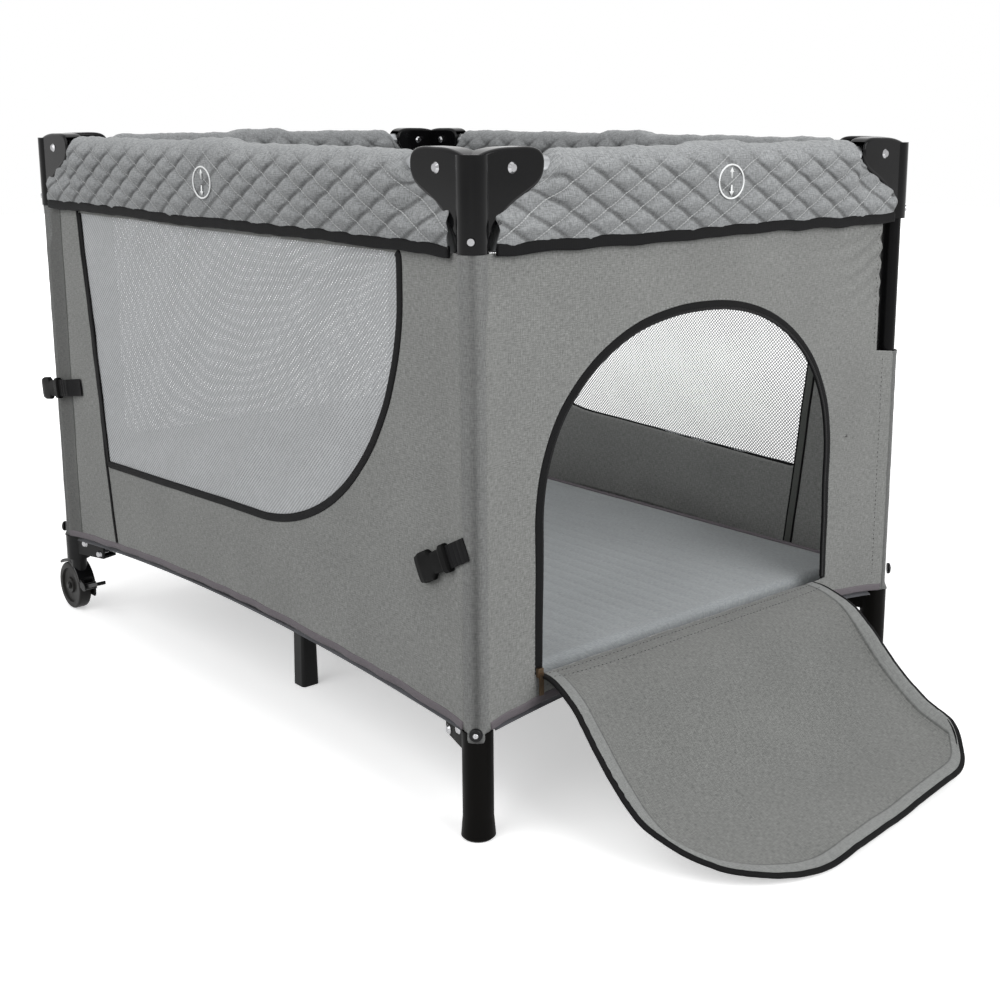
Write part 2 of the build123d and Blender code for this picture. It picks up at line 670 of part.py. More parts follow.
def bar(length, tube_od, start, start_lug, end):
    """Truss bar along +X between two pivots: a lug at its far end, a lug or plain end at its start."""
    with BuildPart() as solid:
        with BuildSketch(Plane.YZ.offset(start)):
            Circle(tube_od / 2)
            Circle(tube_od / 2 - BASE_WALL, mode=Mode.SUBTRACT)
        extrude(amount=length - end - start)
        lug_ends = ((0, 1), (length, -1)) if start_lug else ((length, -1),)
        for x, way in lug_ends:
            with BuildSketch(FRONT_PLANE):
                with Locations((x, 0)):
                    Circle(LUG_R)
                with Locations((x + way * (LUG_REACH + LUG_OVERLAP) / 2, 0)):
                    Rectangle(LUG_REACH + LUG_OVERLAP, min(2 * LUG_R, tube_od - 2 * BASE_WALL))
            extrude(amount=LUG_T / 2, both=True)
        with BuildSketch(FRONT_PLANE):
            with Locations((0, 0), (length, 0)):
                Circle(PIN_R + FIT)
        extrude(amount=tube_od, both=True, mode=Mode.SUBTRACT)
    return solid.part


def hinge_cheeks(plane):
    """Two hinge cheeks that stand either side of a lug, drawn in the plane of the bar's swing."""
    with BuildPart() as cheeks:
        for start in (CHEEK_IN, -CHEEK_OUT):
            with BuildSketch(plane.offset(start)):
                with Locations(((CHEEK_REACH - CHEEK_BACK) / 2, (PLATE_UP - CHEEK_DOWN) / 2)):
                    Rectangle(CHEEK_REACH + CHEEK_BACK, PLATE_UP + CHEEK_DOWN)
                Circle(PIN_R + SEAT, mode=Mode.SUBTRACT)
            extrude(amount=CHEEK_T)
    return cheeks.part


def mid_leg():
    """Middle bracket at the back side: two base tube hinges, the cross link hinge and an outboard leg."""
    leg_y = MID_HINGE_Y + MID_LEG_OUT
    right = Plane((MID_HINGE_X, MID_HINGE_Y, BASE_Z), x_dir=BASE_DIR, z_dir=BASE_NORMAL)
    inwards = Plane((0, MID_HINGE_Y - LINK_STEP, BASE_Z), x_dir=(0, -1, 0), z_dir=(-1, 0, 0))
    plate_start = MID_HINGE_Y - LINK_STEP + CHEEK_BACK - CHEEK_T + 2 * FIT
    plate_z = BASE_Z + PLATE_UP
    plate_w = 2 * (MID_HINGE_X + CHEEK_REACH)
    with BuildPart() as bracket:
        with BuildSketch(Plane.XY.offset(plate_z)):
            with Locations((0, plate_start)):
                Rectangle(plate_w, LINK_STEP + CHEEK_REACH, align=(Align.CENTER, Align.MIN))
                Rectangle(MID_LEG_W, leg_y + MID_LEG_W / 2 - plate_start, align=(Align.CENTER, Align.MIN))
        extrude(amount=PLATE_T)
        fillet(bracket.edges().filter_by(Axis.Z), PLATE_T)
        with BuildSketch(Plane.XY):
            with Locations((0, leg_y)):
                RectangleRounded(MID_LEG_W, MID_LEG_W, MID_LEG_ROUND)
        extrude(amount=plate_z, taper=MID_LEG_TAPER)
        add(hinge_cheeks(right))
        add(mirrored(hinge_cheeks(right), Plane.YZ))
        add(hinge_cheeks(inwards))
    with BuildPart() as group:
        add(bracket.part)
        add(rivet(right, CHEEK_OUT))
        add(mirrored(rivet(right, CHEEK_OUT), Plane.YZ))
        add(rivet(inwards, CHEEK_OUT))
    return group.part


def floor_hub():
    """Centre hub: a plate over the inner hinges of the two cross links."""
    outwards = Plane((0, HUB_HINGE_Y, BASE_Z), x_dir=(0, 1, 0), z_dir=(1, 0, 0))
    with BuildPart() as hub:
        with BuildSketch(Plane.XY.offset(BASE_Z + PLATE_UP)):
            RectangleRounded(2 * HUB_HALF_X, 2 * HUB_HALF_Y, HUB_HALF_X / 2)
        extrude(amount=PLATE_T)
        add(hinge_cheeks(outwards))
        add(mirrored(hinge_cheeks(outwards), Plane.XZ))
    with BuildPart() as group:
        add(hub.part)
        add(rivet(outwards, CHEEK_OUT))
        add(mirrored(rivet(outwards, CHEEK_OUT), Plane.XZ))
    return group.part


def rail_cover(half_span):
    """Padded rail cover along X: a round top over the rail, tapered to the wall and cut clear of the caps."""
    reach = half_span - COLUMN_R - CLOTH_GAP
    shoulder_z = COVER_TOP_Z - COVER_SHOULDER
    arc_z = COVER_TOP_Z - COVER_HALF
    room_half = LOCK_REACH + COVER_ROOM
    room_out = LOCK_OUT + BUTTON_STROKE + BUTTON_HEAD_H + SEAT
    room_in = LOCK_OUT + HEAD_H + SEAT + FIT
    button_room = LOCK_DROP - BUTTON_DROP + BUTTON_HEAD_D / 2 + 2 * COVER_ROOM
    cut = wing(2 * COVER_HALF, CLOTH_GAP, 0)
    with BuildPart() as cover:
        with BuildSketch(Plane.YZ.offset(-reach)):
            with BuildLine():
                Polyline((-COVER_HALF, arc_z), (-COVER_HALF, shoulder_z), (-COVER_FOOT_OUT, COVER_FOOT_Z))
                Polyline((-COVER_FOOT_OUT, COVER_FOOT_Z), (COVER_FOOT_IN, COVER_FOOT_Z))
                Polyline((COVER_FOOT_IN, COVER_FOOT_Z), (COVER_HALF, shoulder_z), (COVER_HALF, arc_z))
                ThreePointArc((COVER_HALF, arc_z), (0, COVER_TOP_Z), (-COVER_HALF, arc_z))
            make_face()
            with Locations((0, RAIL_Z)):
                Circle(RAIL_R + COVER_ROOM, mode=Mode.SUBTRACT)
        extrude(amount=2 * reach)
        with BuildSketch(Plane.YZ.offset(-room_half)):
            with Locations((0, RAIL_Z - LOCK_DROP - COVER_ROOM)):
                Rectangle(2 * room_in, LOCK_DROP + RAIL_R + COVER_ROOM, align=(Align.CENTER, Align.MIN))
                Rectangle(room_out, button_room, align=(Align.MAX, Align.MIN))
        extrude(amount=2 * room_half, mode=Mode.SUBTRACT)
        with Locations(Location((-half_span, 0, 0))):
            add(cut, mode=Mode.SUBTRACT)
        with Locations(Location((half_span, 0, 0))):
            add(mirrored(cut, Plane.YZ), mode=Mode.SUBTRACT)
    return cover.part


def window_face(side):
    """Outline of a side's net window, or of the doorway, seen from outside with x along the side."""
    with BuildSketch() as face:
        if side in ("front", "back"):
            with BuildLine():
                Polyline(
                    (-LONG_HEAD_LEFT, WINDOW_HEAD_Z),
                    (-LONG_FOOT_LEFT, LONG_SILL_LEFT_Z),
                    (LONG_RIGHT, LONG_SILL_RIGHT_Z),
                    (LONG_RIGHT, WINDOW_HEAD_Z),
                    close=True,
                )
            make_face()
            corner = face.vertices().sort_by_distance((LONG_RIGHT, LONG_SILL_RIGHT_Z, 0))[0]
            fillet(corner, LONG_ROUND)
        elif side == "door":
            with Locations((DOOR_MID_Y, DOOR_SILL_Z)):
                Rectangle(2 * DOOR_HALF, DOOR_SIDE, align=(Align.CENTER, Align.MIN))
            with Locations((DOOR_MID_Y, DOOR_SILL_Z + DOOR_SIDE)):
                Ellipse(DOOR_HALF, DOOR_RISE)
        else:
            with Locations((0, WHEEL_SILL_Z)):
                Rectangle(2 * WHEEL_HALF, WINDOW_HEAD_Z - WHEEL_SILL_Z, align=(Align.CENTER, Align.MIN))
    return face.sketch


def wall(side):
    """Fabric wall along X at y = 0, with its arched hem, its opening and the sleeve of its own post."""
    half_span = SIDES[side][1]
    start, end = -half_span + WALL_START, half_span - WALL_END
    sleeve_top = BARE_POST_Z if side == "back" else WALL_HEAD_Z
    with BuildPart() as sheet:
        with BuildSketch(FRONT_PLANE.offset(WALL_OUT)):
            with BuildLine():
                Polyline((end, HEM_Z), (end, WALL_HEAD_Z), (start, WALL_HEAD_Z), (start, HEM_Z))
                ThreePointArc((start, HEM_Z), ((start + end) / 2, HEM_Z + HEM_ARCH), (end, HEM_Z))
            make_face()
            add(window_face(side), mode=Mode.SUBTRACT)
        extrude(amount=WALL_T)
        with BuildSketch(Plane.XY.offset(HEM_Z)):
            with Locations((-half_span, 0)):
                Circle(SLEEVE_R)
                Circle(SLEEVE_IN, mode=Mode.SUBTRACT)
        extrude(amount=sleeve_top - HEM_Z)
    return sheet.part


def net(side):
    """Net of a window: one holed face, with whole square gaps between its strands."""
    with BuildSketch() as face:
        add(window_face(side))
        offset(amount=-SEAT, mode=Mode.REPLACE)
    with BuildSketch() as border:
        add(window_face(side))
        offset(amount=-NET_STRAND, mode=Mode.REPLACE)
    box = face.sketch.bounding_box()
    count_x = int(box.size.X // NET_PITCH)
    count_z = int(box.size.Y // NET_PITCH)
    with BuildSketch() as gaps:
        with Locations((box.center().X, box.center().Y)):
            with GridLocations(NET_PITCH, NET_PITCH, count_x, count_z):
                Rectangle(NET_PITCH - NET_STRAND, NET_PITCH - NET_STRAND)
        add(border.sketch, mode=Mode.INTERSECT)
    with BuildPart() as sheet:
        with BuildSketch(FRONT_PLANE.offset(WALL_OUT + (WALL_T - NET_T) / 2)):
            add(face.sketch)
            add(gaps.sketch, mode=Mode.SUBTRACT)
        extrude(amount=NET_T)
    return sheet.part


def floor_sheet():
    """Fabric floor over the base truss, between the posts."""
    with BuildPart() as sheet:
        with BuildSketch(Plane.XY.offset(FLOOR_Z)):
            Rectangle(2 * (HALF_L - SLEEVE_R - CLOTH_GAP), 2 * (HALF_W - SLEEVE_R - CLOTH_GAP))
        extrude(amount=FLOOR_T)
    return sheet.part


def mattress():
    """Play mattress with a crowned top, drawn-in sides and sewn channels along its length."""
    half_x = HALF_L - SLEEVE_R - MATTRESS_GAP
    half_y = HALF_W - SLEEVE_R - MATTRESS_GAP
    waist_x, waist_y = half_x - MATTRESS_WAIST, half_y - MATTRESS_WAIST
    edge_z, top_z = MATTRESS_Z + MATTRESS_T - MATTRESS_CROWN, MATTRESS_Z + MATTRESS_T
    pitch = 2 * waist_y / (CHANNELS + 1)
    with BuildPart() as pad:
        with BuildSketch(Plane.XY.offset(MATTRESS_Z)):
            with BuildLine():
                ThreePointArc((-half_x, -half_y), (0, -waist_y), (half_x, -half_y))
                ThreePointArc((half_x, -half_y), (waist_x, 0), (half_x, half_y))
                ThreePointArc((half_x, half_y), (0, waist_y), (-half_x, half_y))
                ThreePointArc((-half_x, half_y), (-waist_x, 0), (-half_x, -half_y))
            make_face()
        extrude(amount=MATTRESS_T)
        fillet(pad.edges().filter_by(Axis.Z), MATTRESS_CORNER)
        with BuildSketch(Plane.YZ):
            with BuildLine():
                Polyline((half_y, edge_z), (half_y, MATTRESS_Z), (-half_y, MATTRESS_Z), (-half_y, edge_z))
                ThreePointArc((-half_y, edge_z), (0, top_z), (half_y, edge_z))
            make_face()
        extrude(amount=half_x, both=True, mode=Mode.INTERSECT)
        with BuildSketch(Plane.YZ):
            for i in range(CHANNELS):
                y = (i - (CHANNELS - 1) / 2) * pitch
                z = edge_z + MATTRESS_CROWN * (1 - (y / half_y) ** 2)
                with Locations((y, z)):
                    Polygon(
                        (-CHANNEL_W / 2, CHANNEL_DEPTH),
                        (0, -CHANNEL_DEPTH),
                        (CHANNEL_W / 2, CHANNEL_DEPTH),
                        align=None,
                    )
        extrude(amount=waist_x - CHANNEL_MARGIN, both=True, mode=Mode.SUBTRACT)
    return pad.part


def door_flap():
    """Door flap as it lies open: a shelf at the sill, a steep slope and a gentle one down to the floor."""
    lower = [
        (0, DOOR_SILL_Z),
        (FLAP_SHELF, DOOR_SILL_Z),
        (FLAP_KNEE_X, DOOR_SILL_Z - FLAP_KNEE_DROP),
        (FLAP_REACH, FLAP_LIFT),
    ]
    upper = [(x, z + FLAP_T) for x, z in lower]
    y_front = DOOR_MID_Y - DOOR_HALF + FLAP_FRONT_EDGE
    y_back = DOOR_MID_Y + DOOR_HALF - FLAP_BACK_EDGE
    side_plane = Plane((FLAP_HINGE_X, 0, 0), x_dir=(1, 0, 0), z_dir=(0, -1, 0))
    tip = FLAP_HINGE_X + FLAP_REACH
    with BuildPart() as flap:
        with BuildSketch(side_plane.offset(-y_back)):
            with BuildLine():
                FilletPolyline(*lower, radius=list(FLAP_BENDS))
                FilletPolyline(*upper, radius=list(FLAP_BENDS))
                Line(lower[0], upper[0])
                Line(lower[-1], upper[-1])
            make_face()
        extrude(amount=y_back - y_front)
        with BuildSketch() as outline:
            with BuildLine():
                Polyline(
                    (FLAP_HINGE_X, y_front),
                    (tip, y_front),
                    (tip - FLAP_SKEW, y_back),
                    (FLAP_HINGE_X, y_back),
                    close=True,
                )
            make_face()
            fillet(outline.vertices().sort_by_distance((tip, y_front, 0))[0], FLAP_TIP_R)
            fillet(outline.vertices().sort_by_distance((tip - FLAP_SKEW, y_back, 0))[0], FLAP_CORNER_R)
        extrude(amount=2 * DOOR_SILL_Z, mode=Mode.INTERSECT)
    return flap.part


def zip_slider():
    """Zip slider at the foot of the doorway's front side, with its pull tab hanging."""
    x = HALF_L + WALL_FACE + CLOTH_GAP
    y = DOOR_MID_Y - DOOR_HALF
    with BuildPart() as slider:
        with BuildSketch(Plane.XY.offset(DOOR_SILL_Z)):
            with Locations((x, y)):
                Rectangle(SLIDER_T, SLIDER_W, align=(Align.MIN, Align.CENTER))
        extrude(amount=SLIDER_H)
        fillet(slider.edges().filter_by(Axis.X), SLIDER_ROUND)
        with BuildSketch(Plane.XY.offset(DOOR_SILL_Z - TAB_H)):
            with Locations((x + SLIDER_T, y)):
                Rectangle(TAB_T, TAB_W, align=(Align.MIN, Align.CENTER))
        extrude(amount=TAB_H + SLIDER_H / 2)
    return slider.part


def buckle_strap():
    """Webbing tail along +X from a seam, with a female buckle at its end and the mouth outwards."""
    with BuildPart() as strap:
        with Locations((STRAP_L / 2, BUCKLE_OUT - STRAP_OUT, 0)):
            Box(STRAP_L, STRAP_T, STRAP_W)
    with BuildPart() as buckle:
        with Locations((STRAP_L + SEAT + BUCKLE_L / 2, 0, 0)):
            Box(BUCKLE_L, BUCKLE_T, BUCKLE_H)
        fillet(buckle.edges().filter_by(Axis.Y), BUCKLE_ROUND)
        with Locations((STRAP_L + SEAT + BUCKLE_L, 0, 0)):
            Box(
                2 * (BUCKLE_L - BUCKLE_BACK),
                BUCKLE_T - 2 * BUCKLE_WALL,
                BUCKLE_H - 2 * BUCKLE_SIDE,
                mode=Mode.SUBTRACT,
            )
    with BuildPart() as group:
        add(strap.part)
        add(buckle.part)
    return group.part


# Corners: caps, fasteners, posts, and feet or castors
cap_shape = corner_cap()
fastener_shape = corner_fasteners()
for corner, (x_sign, y_sign) in CORNERS.items():
    keep(at_corner(cap_shape, corner), f"corner_cap_{corner}")
    keep(at_corner(fastener_shape, corner), f"fasteners_{corner}")
    if x_sign > 0:
        keep(at_corner(post(FOOT_SOCKET_Z + SEAT), corner), f"post_{corner}")
        keep(at_corner(foot(), corner), f"foot_{corner}")
    else:
        keep(at_corner(post(CASTOR_Z + CASTOR_FLOOR + SEAT), corner), f"post_{corner}")
        keep(at_corner(castor_bracket(), corner), f"castor_bracket_{corner}")
        keep(at_corner(castor_hood(), corner), f"castor_hood_{corner}")
        keep(at_corner(castor_wheel(), corner), f"castor_wheel_{corner}")
        keep(at_corner(brake_lever(), corner), f"brake_lever_{corner}")

# Base truss
base_tube = placed(bar(BASE_LENGTH, BASE_OD, -BASE_TAIL, False, LUG_REACH), Location(
    (BASE_PIVOT_X, BASE_PIVOT_Y, BASE_Z), (0, 0, BASE_ANGLE)))
for corner in CORNERS:
    keep(at_corner(base_tube, corner), f"base_tube_{corner}")
link_back = placed(bar(LINK_LENGTH, LINK_OD, LUG_REACH, True, LUG_REACH), Location(
    (0, HUB_HINGE_Y, BASE_Z), (0, 0, 90)))
keep(link_back, "cross_link_back")
keep(mirrored(link_back, Plane.XZ), "cross_link_front")
leg_back = mid_leg()
keep(leg_back, "mid_leg_back")
keep(mirrored(leg_back, Plane.XZ), "mid_leg_front")
keep(floor_hub(), "floor_hub")

# Rails, locks, covers and walls of the four sides
for side, (_, half_span) in SIDES.items():
    keep(at_side(rail_cheek_half(half_span), side), f"rail_{side}_{CHEEK_HALVES[side]}")
    keep(at_side(rail_tongue_half(half_span), side), f"rail_{side}_{TONGUE_HALVES[side]}")
    keep(at_side(latch_button(), side), f"latch_button_{side}")
    keep(at_side(rail_cover(half_span), side), f"rail_cover_{side}")
    keep(at_side(wall(side), side), f"wall_{side}")
    if side != "door":
        keep(at_side(net(side), side), f"net_{side}")

# Floor, mattress, door flap, zip slider and straps
keep(floor_sheet(), "floor_sheet")
keep(mattress(), "mattress")
keep(door_flap(), "door_flap")
keep(zip_slider(), "zip_slider")
strap_y = -HALF_W - BUCKLE_OUT
door_strap = Location((HALF_L, strap_y, DOOR_STRAP_Z), (0, 180 - DOOR_STRAP_TILT, 0))
wheel_strap = Location((-HALF_L + POST_R, strap_y, WHEEL_STRAP_Z), (0, 180, 0))
keep(placed(buckle_strap(), door_strap), "buckle_strap_door")
keep(placed(buckle_strap(), wheel_strap), "buckle_strap_wheel")
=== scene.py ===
"""Folding playpen with a zipped door: cloth, nets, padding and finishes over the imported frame."""
from math import cos, pi, radians, sin, sqrt, tau

import bmesh
import bpy
import numpy as np
from mathutils import Matrix, Vector


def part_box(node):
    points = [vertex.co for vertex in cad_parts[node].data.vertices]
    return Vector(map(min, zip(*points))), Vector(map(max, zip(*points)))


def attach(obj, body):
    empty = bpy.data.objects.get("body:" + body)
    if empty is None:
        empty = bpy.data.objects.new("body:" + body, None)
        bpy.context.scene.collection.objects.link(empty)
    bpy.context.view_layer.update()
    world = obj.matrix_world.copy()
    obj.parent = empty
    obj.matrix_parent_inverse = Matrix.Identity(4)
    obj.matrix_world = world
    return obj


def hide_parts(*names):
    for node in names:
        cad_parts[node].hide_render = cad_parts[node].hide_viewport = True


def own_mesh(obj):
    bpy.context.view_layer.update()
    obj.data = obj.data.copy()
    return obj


bl_info = {
    "name": "Folding playpen",
    "version": (1, 0, 0),
    "blender": (4, 5, 0),
    "location": "3D View > Sidebar > Playpen",
    "description": "Cloth, nets, quilted rail covers, mattress, door flap and finishes of a folding playpen",
    "category": "Add Mesh",
}

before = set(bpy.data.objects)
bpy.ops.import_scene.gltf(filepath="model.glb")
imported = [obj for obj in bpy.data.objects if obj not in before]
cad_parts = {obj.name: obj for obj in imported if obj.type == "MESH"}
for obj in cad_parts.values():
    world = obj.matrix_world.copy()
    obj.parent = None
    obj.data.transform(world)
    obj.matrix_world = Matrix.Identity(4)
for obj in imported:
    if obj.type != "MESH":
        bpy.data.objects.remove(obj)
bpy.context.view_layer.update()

# Places read from the frame, in metres
POST_LOW, POST_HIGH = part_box("post_door_front")
HALF_L = (POST_LOW[0] + POST_HIGH[0]) / 2
HALF_W = -(POST_LOW[1] + POST_HIGH[1]) / 2
COVER_FOOT_Z, COVER_TOP_Z = (corner[2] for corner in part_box("rail_cover_front"))
HEM_Z, WALL_HEAD_Z = (corner[2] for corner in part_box("wall_front"))
FLOOR_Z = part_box("floor_sheet")[0][2]
MATTRESS_LOW, MATTRESS_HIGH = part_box("mattress")
FLAP_LOW, FLAP_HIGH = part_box("door_flap")

# Cloth lines of the part, in metres
WALL_MID = 0.010            # walls outside the post axes
HEM_ARCH = 0.026
SLEEVE_R = 0.0147
SHORT_SLEEVE_Z = 0.470
FREE_EDGE = 0.328           # the door wall ends here beside the bare post, from the middle of the side
WINDOW_HEAD_Z = WALL_HEAD_Z - 0.005
LONG_HEAD_LEFT = -0.400     # windows of the two long sides
LONG_FOOT_LEFT = -0.355
LONG_RIGHT = 0.392
LONG_ROUND = 0.320
LONG_SILL_LEFT_Z = 0.272
LONG_SILL_RIGHT_Z = 0.296
WHEEL_HALF = 0.270
WHEEL_SILL_Z = 0.268
DOOR_MID = -0.027
DOOR_HALF = 0.257
DOOR_SILL_Z = 0.170
DOOR_ARCH_Z = 0.340
DOOR_RISE = 0.2275
DOOR_POWER = 2.2
COVER_HALF = 0.020
COVER_SHOULDER_Z = COVER_TOP_Z - 0.040
COVER_FOOT_OUT = 0.016
COVER_FOOT_IN = 0.006
FLAP_LINE = ((0, 0.171), (0.044, 0.171), (0.154, 0.050), (0.314, 0.0020))
FLAP_BENDS = (0.085, 0.260)
FLAP_TIP_R = 0.175
FLAP_CORNER_R = 0.064
FLAP_SKEW = 0.050
FLAP_FLARE = 0.008          # the flap widens by this much past its hinge
TONGUE_R = 0.0187           # the sleeves' tongues lie over the feet
BOSS_R = 0.0077
# Half the height of a buckle along it: bar, waist, and the wide mouth
BUCKLE_LINE = ((0.029, 0.0125), (0.031, 0.0160), (0.039, 0.0160), (0.042, 0.0130), (0.058, 0.0122),
               (0.064, 0.0174), (0.081, 0.0174), (0.089, 0.0152))
RING = (0.0216, 0.0196)     # half the width and height of the printed lock mark
# Half the width of the mark's arrows along them: stem, then head
ARROW_LINE = ((0.0, 0.0013), (0.0072, 0.0013), (0.0073, 0.0036), (0.0125, 0.0001))
BOSS_PROFILE = ((0.0044, 0.0030), (0.0058, 0.0030), (0.0070, 0.0024), (BOSS_R, 0.0010), (BOSS_R, -0.0012))
SCREW_PROFILE = ((0.0004, 0.0007), (0.0012, 0.0013), (0.0022, 0.0011), (0.0030, 0.0006), (0.0033, -0.0004))

# Each side: middle of its rail, direction along it, direction outwards, half its span, its carrying body
SIDES = {
    "front": ((0, -HALF_W, 0), (1, 0, 0), (0, -1, 0), HALF_L, "post_wheel_front"),
    "door": ((HALF_L, 0, 0), (0, 1, 0), (1, 0, 0), HALF_W, "post_door_front"),
    "back": ((0, HALF_W, 0), (-1, 0, 0), (0, 1, 0), HALF_L, "post_door_back"),
    "wheel": ((-HALF_L, 0, 0), (0, -1, 0), (-1, 0, 0), HALF_W, "post_wheel_back"),
}
SEEDS = {"front": 3, "door": 5, "back": 7, "wheel": 11}
# Middle of the printed lock mark on each side's cover
MARKS = {"front": (-0.008, 0.703), "door": (0.009, 0.711), "back": (0.004, 0.706), "wheel": (-0.005, 0.706)}
# Post sleeve at each side's own post: height of the tongue's boss, then where round the post the cloth has a
# shallow
# # crease with painted shade along it, and how wide that is, in radians from the post's outward diagonal
SLEEVES = {"front": (0.140, 0.60, 0.70), "door": (0.1285, 0.05, 0.36), "back": (0.156, -1.45, 0.80),
           "wheel": (0.140, 0.60, 0.70)}
# Seams of the panels round the two wheel-end posts: place along the side, and the panel's direction from it
CORNER_SEAMS = {
    "front": ((-HALF_L + 0.043, -1),),
    "door": (),
    "back": ((HALF_L - 0.043, 1),),
    "wheel": ((-HALF_W + 0.043, -1), (HALF_W - 0.043, 1)),
}
UP = np.array((0, 0, 1.0))
WALL_INSET = 0.0030         # the walls stop this far inside the post axes
HEM_INSET = 0.0070
COVER_INSET = 0.0190        # the rail covers stop this far inside the post axes
TURN_UP = 0.0085            # the floor cloth reaches this far past the post axes
MATTRESS_SAG = 0.0045       # the mattress's long sides draw in by this much
YARN = 0.0012               # thickness and fleck length of the melange yarn
SLUB = 0.007
WAVE = 0.314                # length of one wave at scale 1, along an axis and along a diagonal
WAVE_SLANT = 0.444


def hex_colour(text):
    """Linear RGBA of an sRGB hex colour: v / 12.92 under 0.04045, else ((v + 0.055) / 1.055) ** 2.4."""
    part = np.array([int(text[i : i + 2], 16) for i in (1, 3, 5)]) / 255
    line = np.where(part <= 0.04045, part / 12.92, ((part + 0.055) / 1.055) ** 2.4)
    return (*line.tolist(), 1.0)


def length_property(name, description, default):
    """A length in metres that a user can change."""
    return bpy.props.FloatProperty(name=name, description=description, default=default, unit="LENGTH")


def colour_property(name, description, text):
    """A colour that a user can change, from its sRGB hex text."""
    return bpy.props.FloatVectorProperty(
        name=name, description=description, size=4, subtype="COLOR", default=hex_colour(text))


class PlaypenSizes(bpy.types.PropertyGroup):
    """Sizes of the cloth work that a user would change."""

    wall_thickness: length_property("Wall cloth", "Thickness of the wall cloth", 0.0018)
    slack: length_property("Wall slack", "Height of the soft waves in the walls", 0.0011)
    binding: length_property("Window binding", "Width of the tape round the windows", 0.0105)
    piping: length_property("Piping", "Width of the thin piping on the long sides", 0.0055)
    zip_tape: length_property("Zip tape", "Width of the zip tape round the doorway", 0.009)
    hem: length_property("Hem tape", "Width of the tape along the hems", 0.0095)
    rim: length_property("Cover binding", "Width of the binding under the rail covers", 0.013)
    quilt_width: length_property("Quilt width", "Width of one quilted diamond", 0.054)
    quilt_height: length_property("Quilt height", "Height of one quilted diamond", 0.031)
    puff: length_property("Puff", "Rise of the padding between quilting lines", 0.0070)
    mesh: length_property("Net mesh", "Width of one mesh of the nets", 0.0054)
    strand: bpy.props.FloatProperty(
        name="Net strand", description="Share of a mesh that its strands cover", default=0.78,
        subtype="FACTOR")
    channel: length_property("Mattress lines", "Distance between the mattress's sewn lines", 0.0240)


class PlaypenColours(bpy.types.PropertyGroup):
    """Colours of the cloths and finishes that a user would change."""

    wall: colour_property("Wall cloth", "Melange cloth of the walls", "#828381")
    cover: colour_property("Cover cloth", "Melange cloth of the rail covers", "#8e9091")
    net: colour_property("Net", "Threads of the nets", "#b2b4b6")
    mattress: colour_property("Mattress", "Cloth of the mattress", "#94989a")
    tape: colour_property("Black tape", "Bindings and zip tape", "#0d0d0e")
    hem: colour_property("Hem tape", "Tape along the hems", "#6b666a")
    plastic: colour_property("Black plastic", "Caps, feet and brackets", "#0a0a0b")
    flap: colour_property("Flap cloth", "Melange cloth of the door flap", "#6e6f6d")
    sleeve: colour_property("Sleeve cloth", "Melange cloth of the post sleeves", "#787978")


def smooth(x, low, high):
    """0 under low, 1 over high, and 3 t^2 - 2 t^3 between them."""
    t = np.clip((x - low) / (high - low), 0, 1)
    return t * t * (3 - 2 * t)


def bell(x, width):
    """exp(-(x / width)^2)."""
    return np.exp(-((x / width) ** 2))


def signed_power(x, power):
    """|x|^power with the sign of x."""
    return np.sign(x) * np.abs(x) ** power


def unit(rows):
    """Each row drawn to length 1."""
    return rows / np.linalg.norm(rows, axis=1)[:, None]


def together(*parts):
    """Arrays spread to one shape and set side by side along a new last axis."""
    return np.stack(np.broadcast_arrays(*parts), -1)


def open_at_gap(points):
    """Points of a broken ring, begun after its widest gap."""
    gaps = np.hypot(*np.diff(np.concatenate([points, points[:1]]), axis=0).T)
    return np.roll(points, -int(np.argmax(gaps)) - 1, 0)


def ripples(u, v, seed, longest, height, count=9):
    """Sum of plane waves with seeded directions and phases, from the longest wave down to a fifth of it."""
    rng = np.random.default_rng(seed)
    total = np.zeros(np.broadcast(u, v).shape)
    for length in longest / np.linspace(1, 5, count):
        turn, phase = rng.uniform(0, tau, 2)
        total += length / longest * np.sin(tau * (u * cos(turn) + v * sin(turn)) / length + phase)
    return height * total / sqrt(count)


def on_side(side, u, out, z):
    """Points of a side: middle + u along + out outwards + z up."""
    middle, along, outward = (np.array(v, float) for v in SIDES[side][:3])
    u, out, z = np.broadcast_arrays(u, out, z)
    return middle + u[..., None] * along + out[..., None] * outward + z[..., None] * UP


def rounded_path(corners, radii, closed, step):
    """Corner points joined by straight runs, each corner turned on an arc of its radius, with a point about
    every step."""
    corners = [np.array(c, float) for c in corners]
    count = len(corners)
    path = []
    for i, corner in enumerate(corners):
        radius = radii[i]
        if radius == 0 or (not closed and i in (0, count - 1)):
            path.append(corner)
            continue
        back = corners[i - 1] - corner
        ahead = corners[(i + 1) % count] - corner
        back, ahead = back / np.hypot(*back), ahead / np.hypot(*ahead)
        half = np.arccos(np.clip(back @ ahead, -1, 1)) / 2
        bisector = (back + ahead) / np.hypot(*(back + ahead))
        hub = corner + bisector * radius / np.sin(half)
        sweep = np.linspace(-1, 1, max(3, int(radius * (pi - 2 * half) / step) + 2)) * (pi / 2 - half)
        side = np.sign(back[0] * ahead[1] - back[1] * ahead[0])
        turn = np.arctan2(-bisector[1], -bisector[0]) - side * sweep
        path.extend(hub + radius * np.stack([np.cos(turn), np.sin(turn)], -1))
    path = np.array(path)
    ends = np.roll(path, -1, 0) if closed else path[1:]
    starts = path if closed else path[:-1]
    runs = []
    for a, b in zip(starts, ends):
        steps = max(1, round(np.hypot(*(b - a)) / step))
        runs.append(a + (b - a) * np.arange(steps)[:, None] / steps)
    if not closed:
        runs.append(path[-1:])
    return np.concatenate(runs)


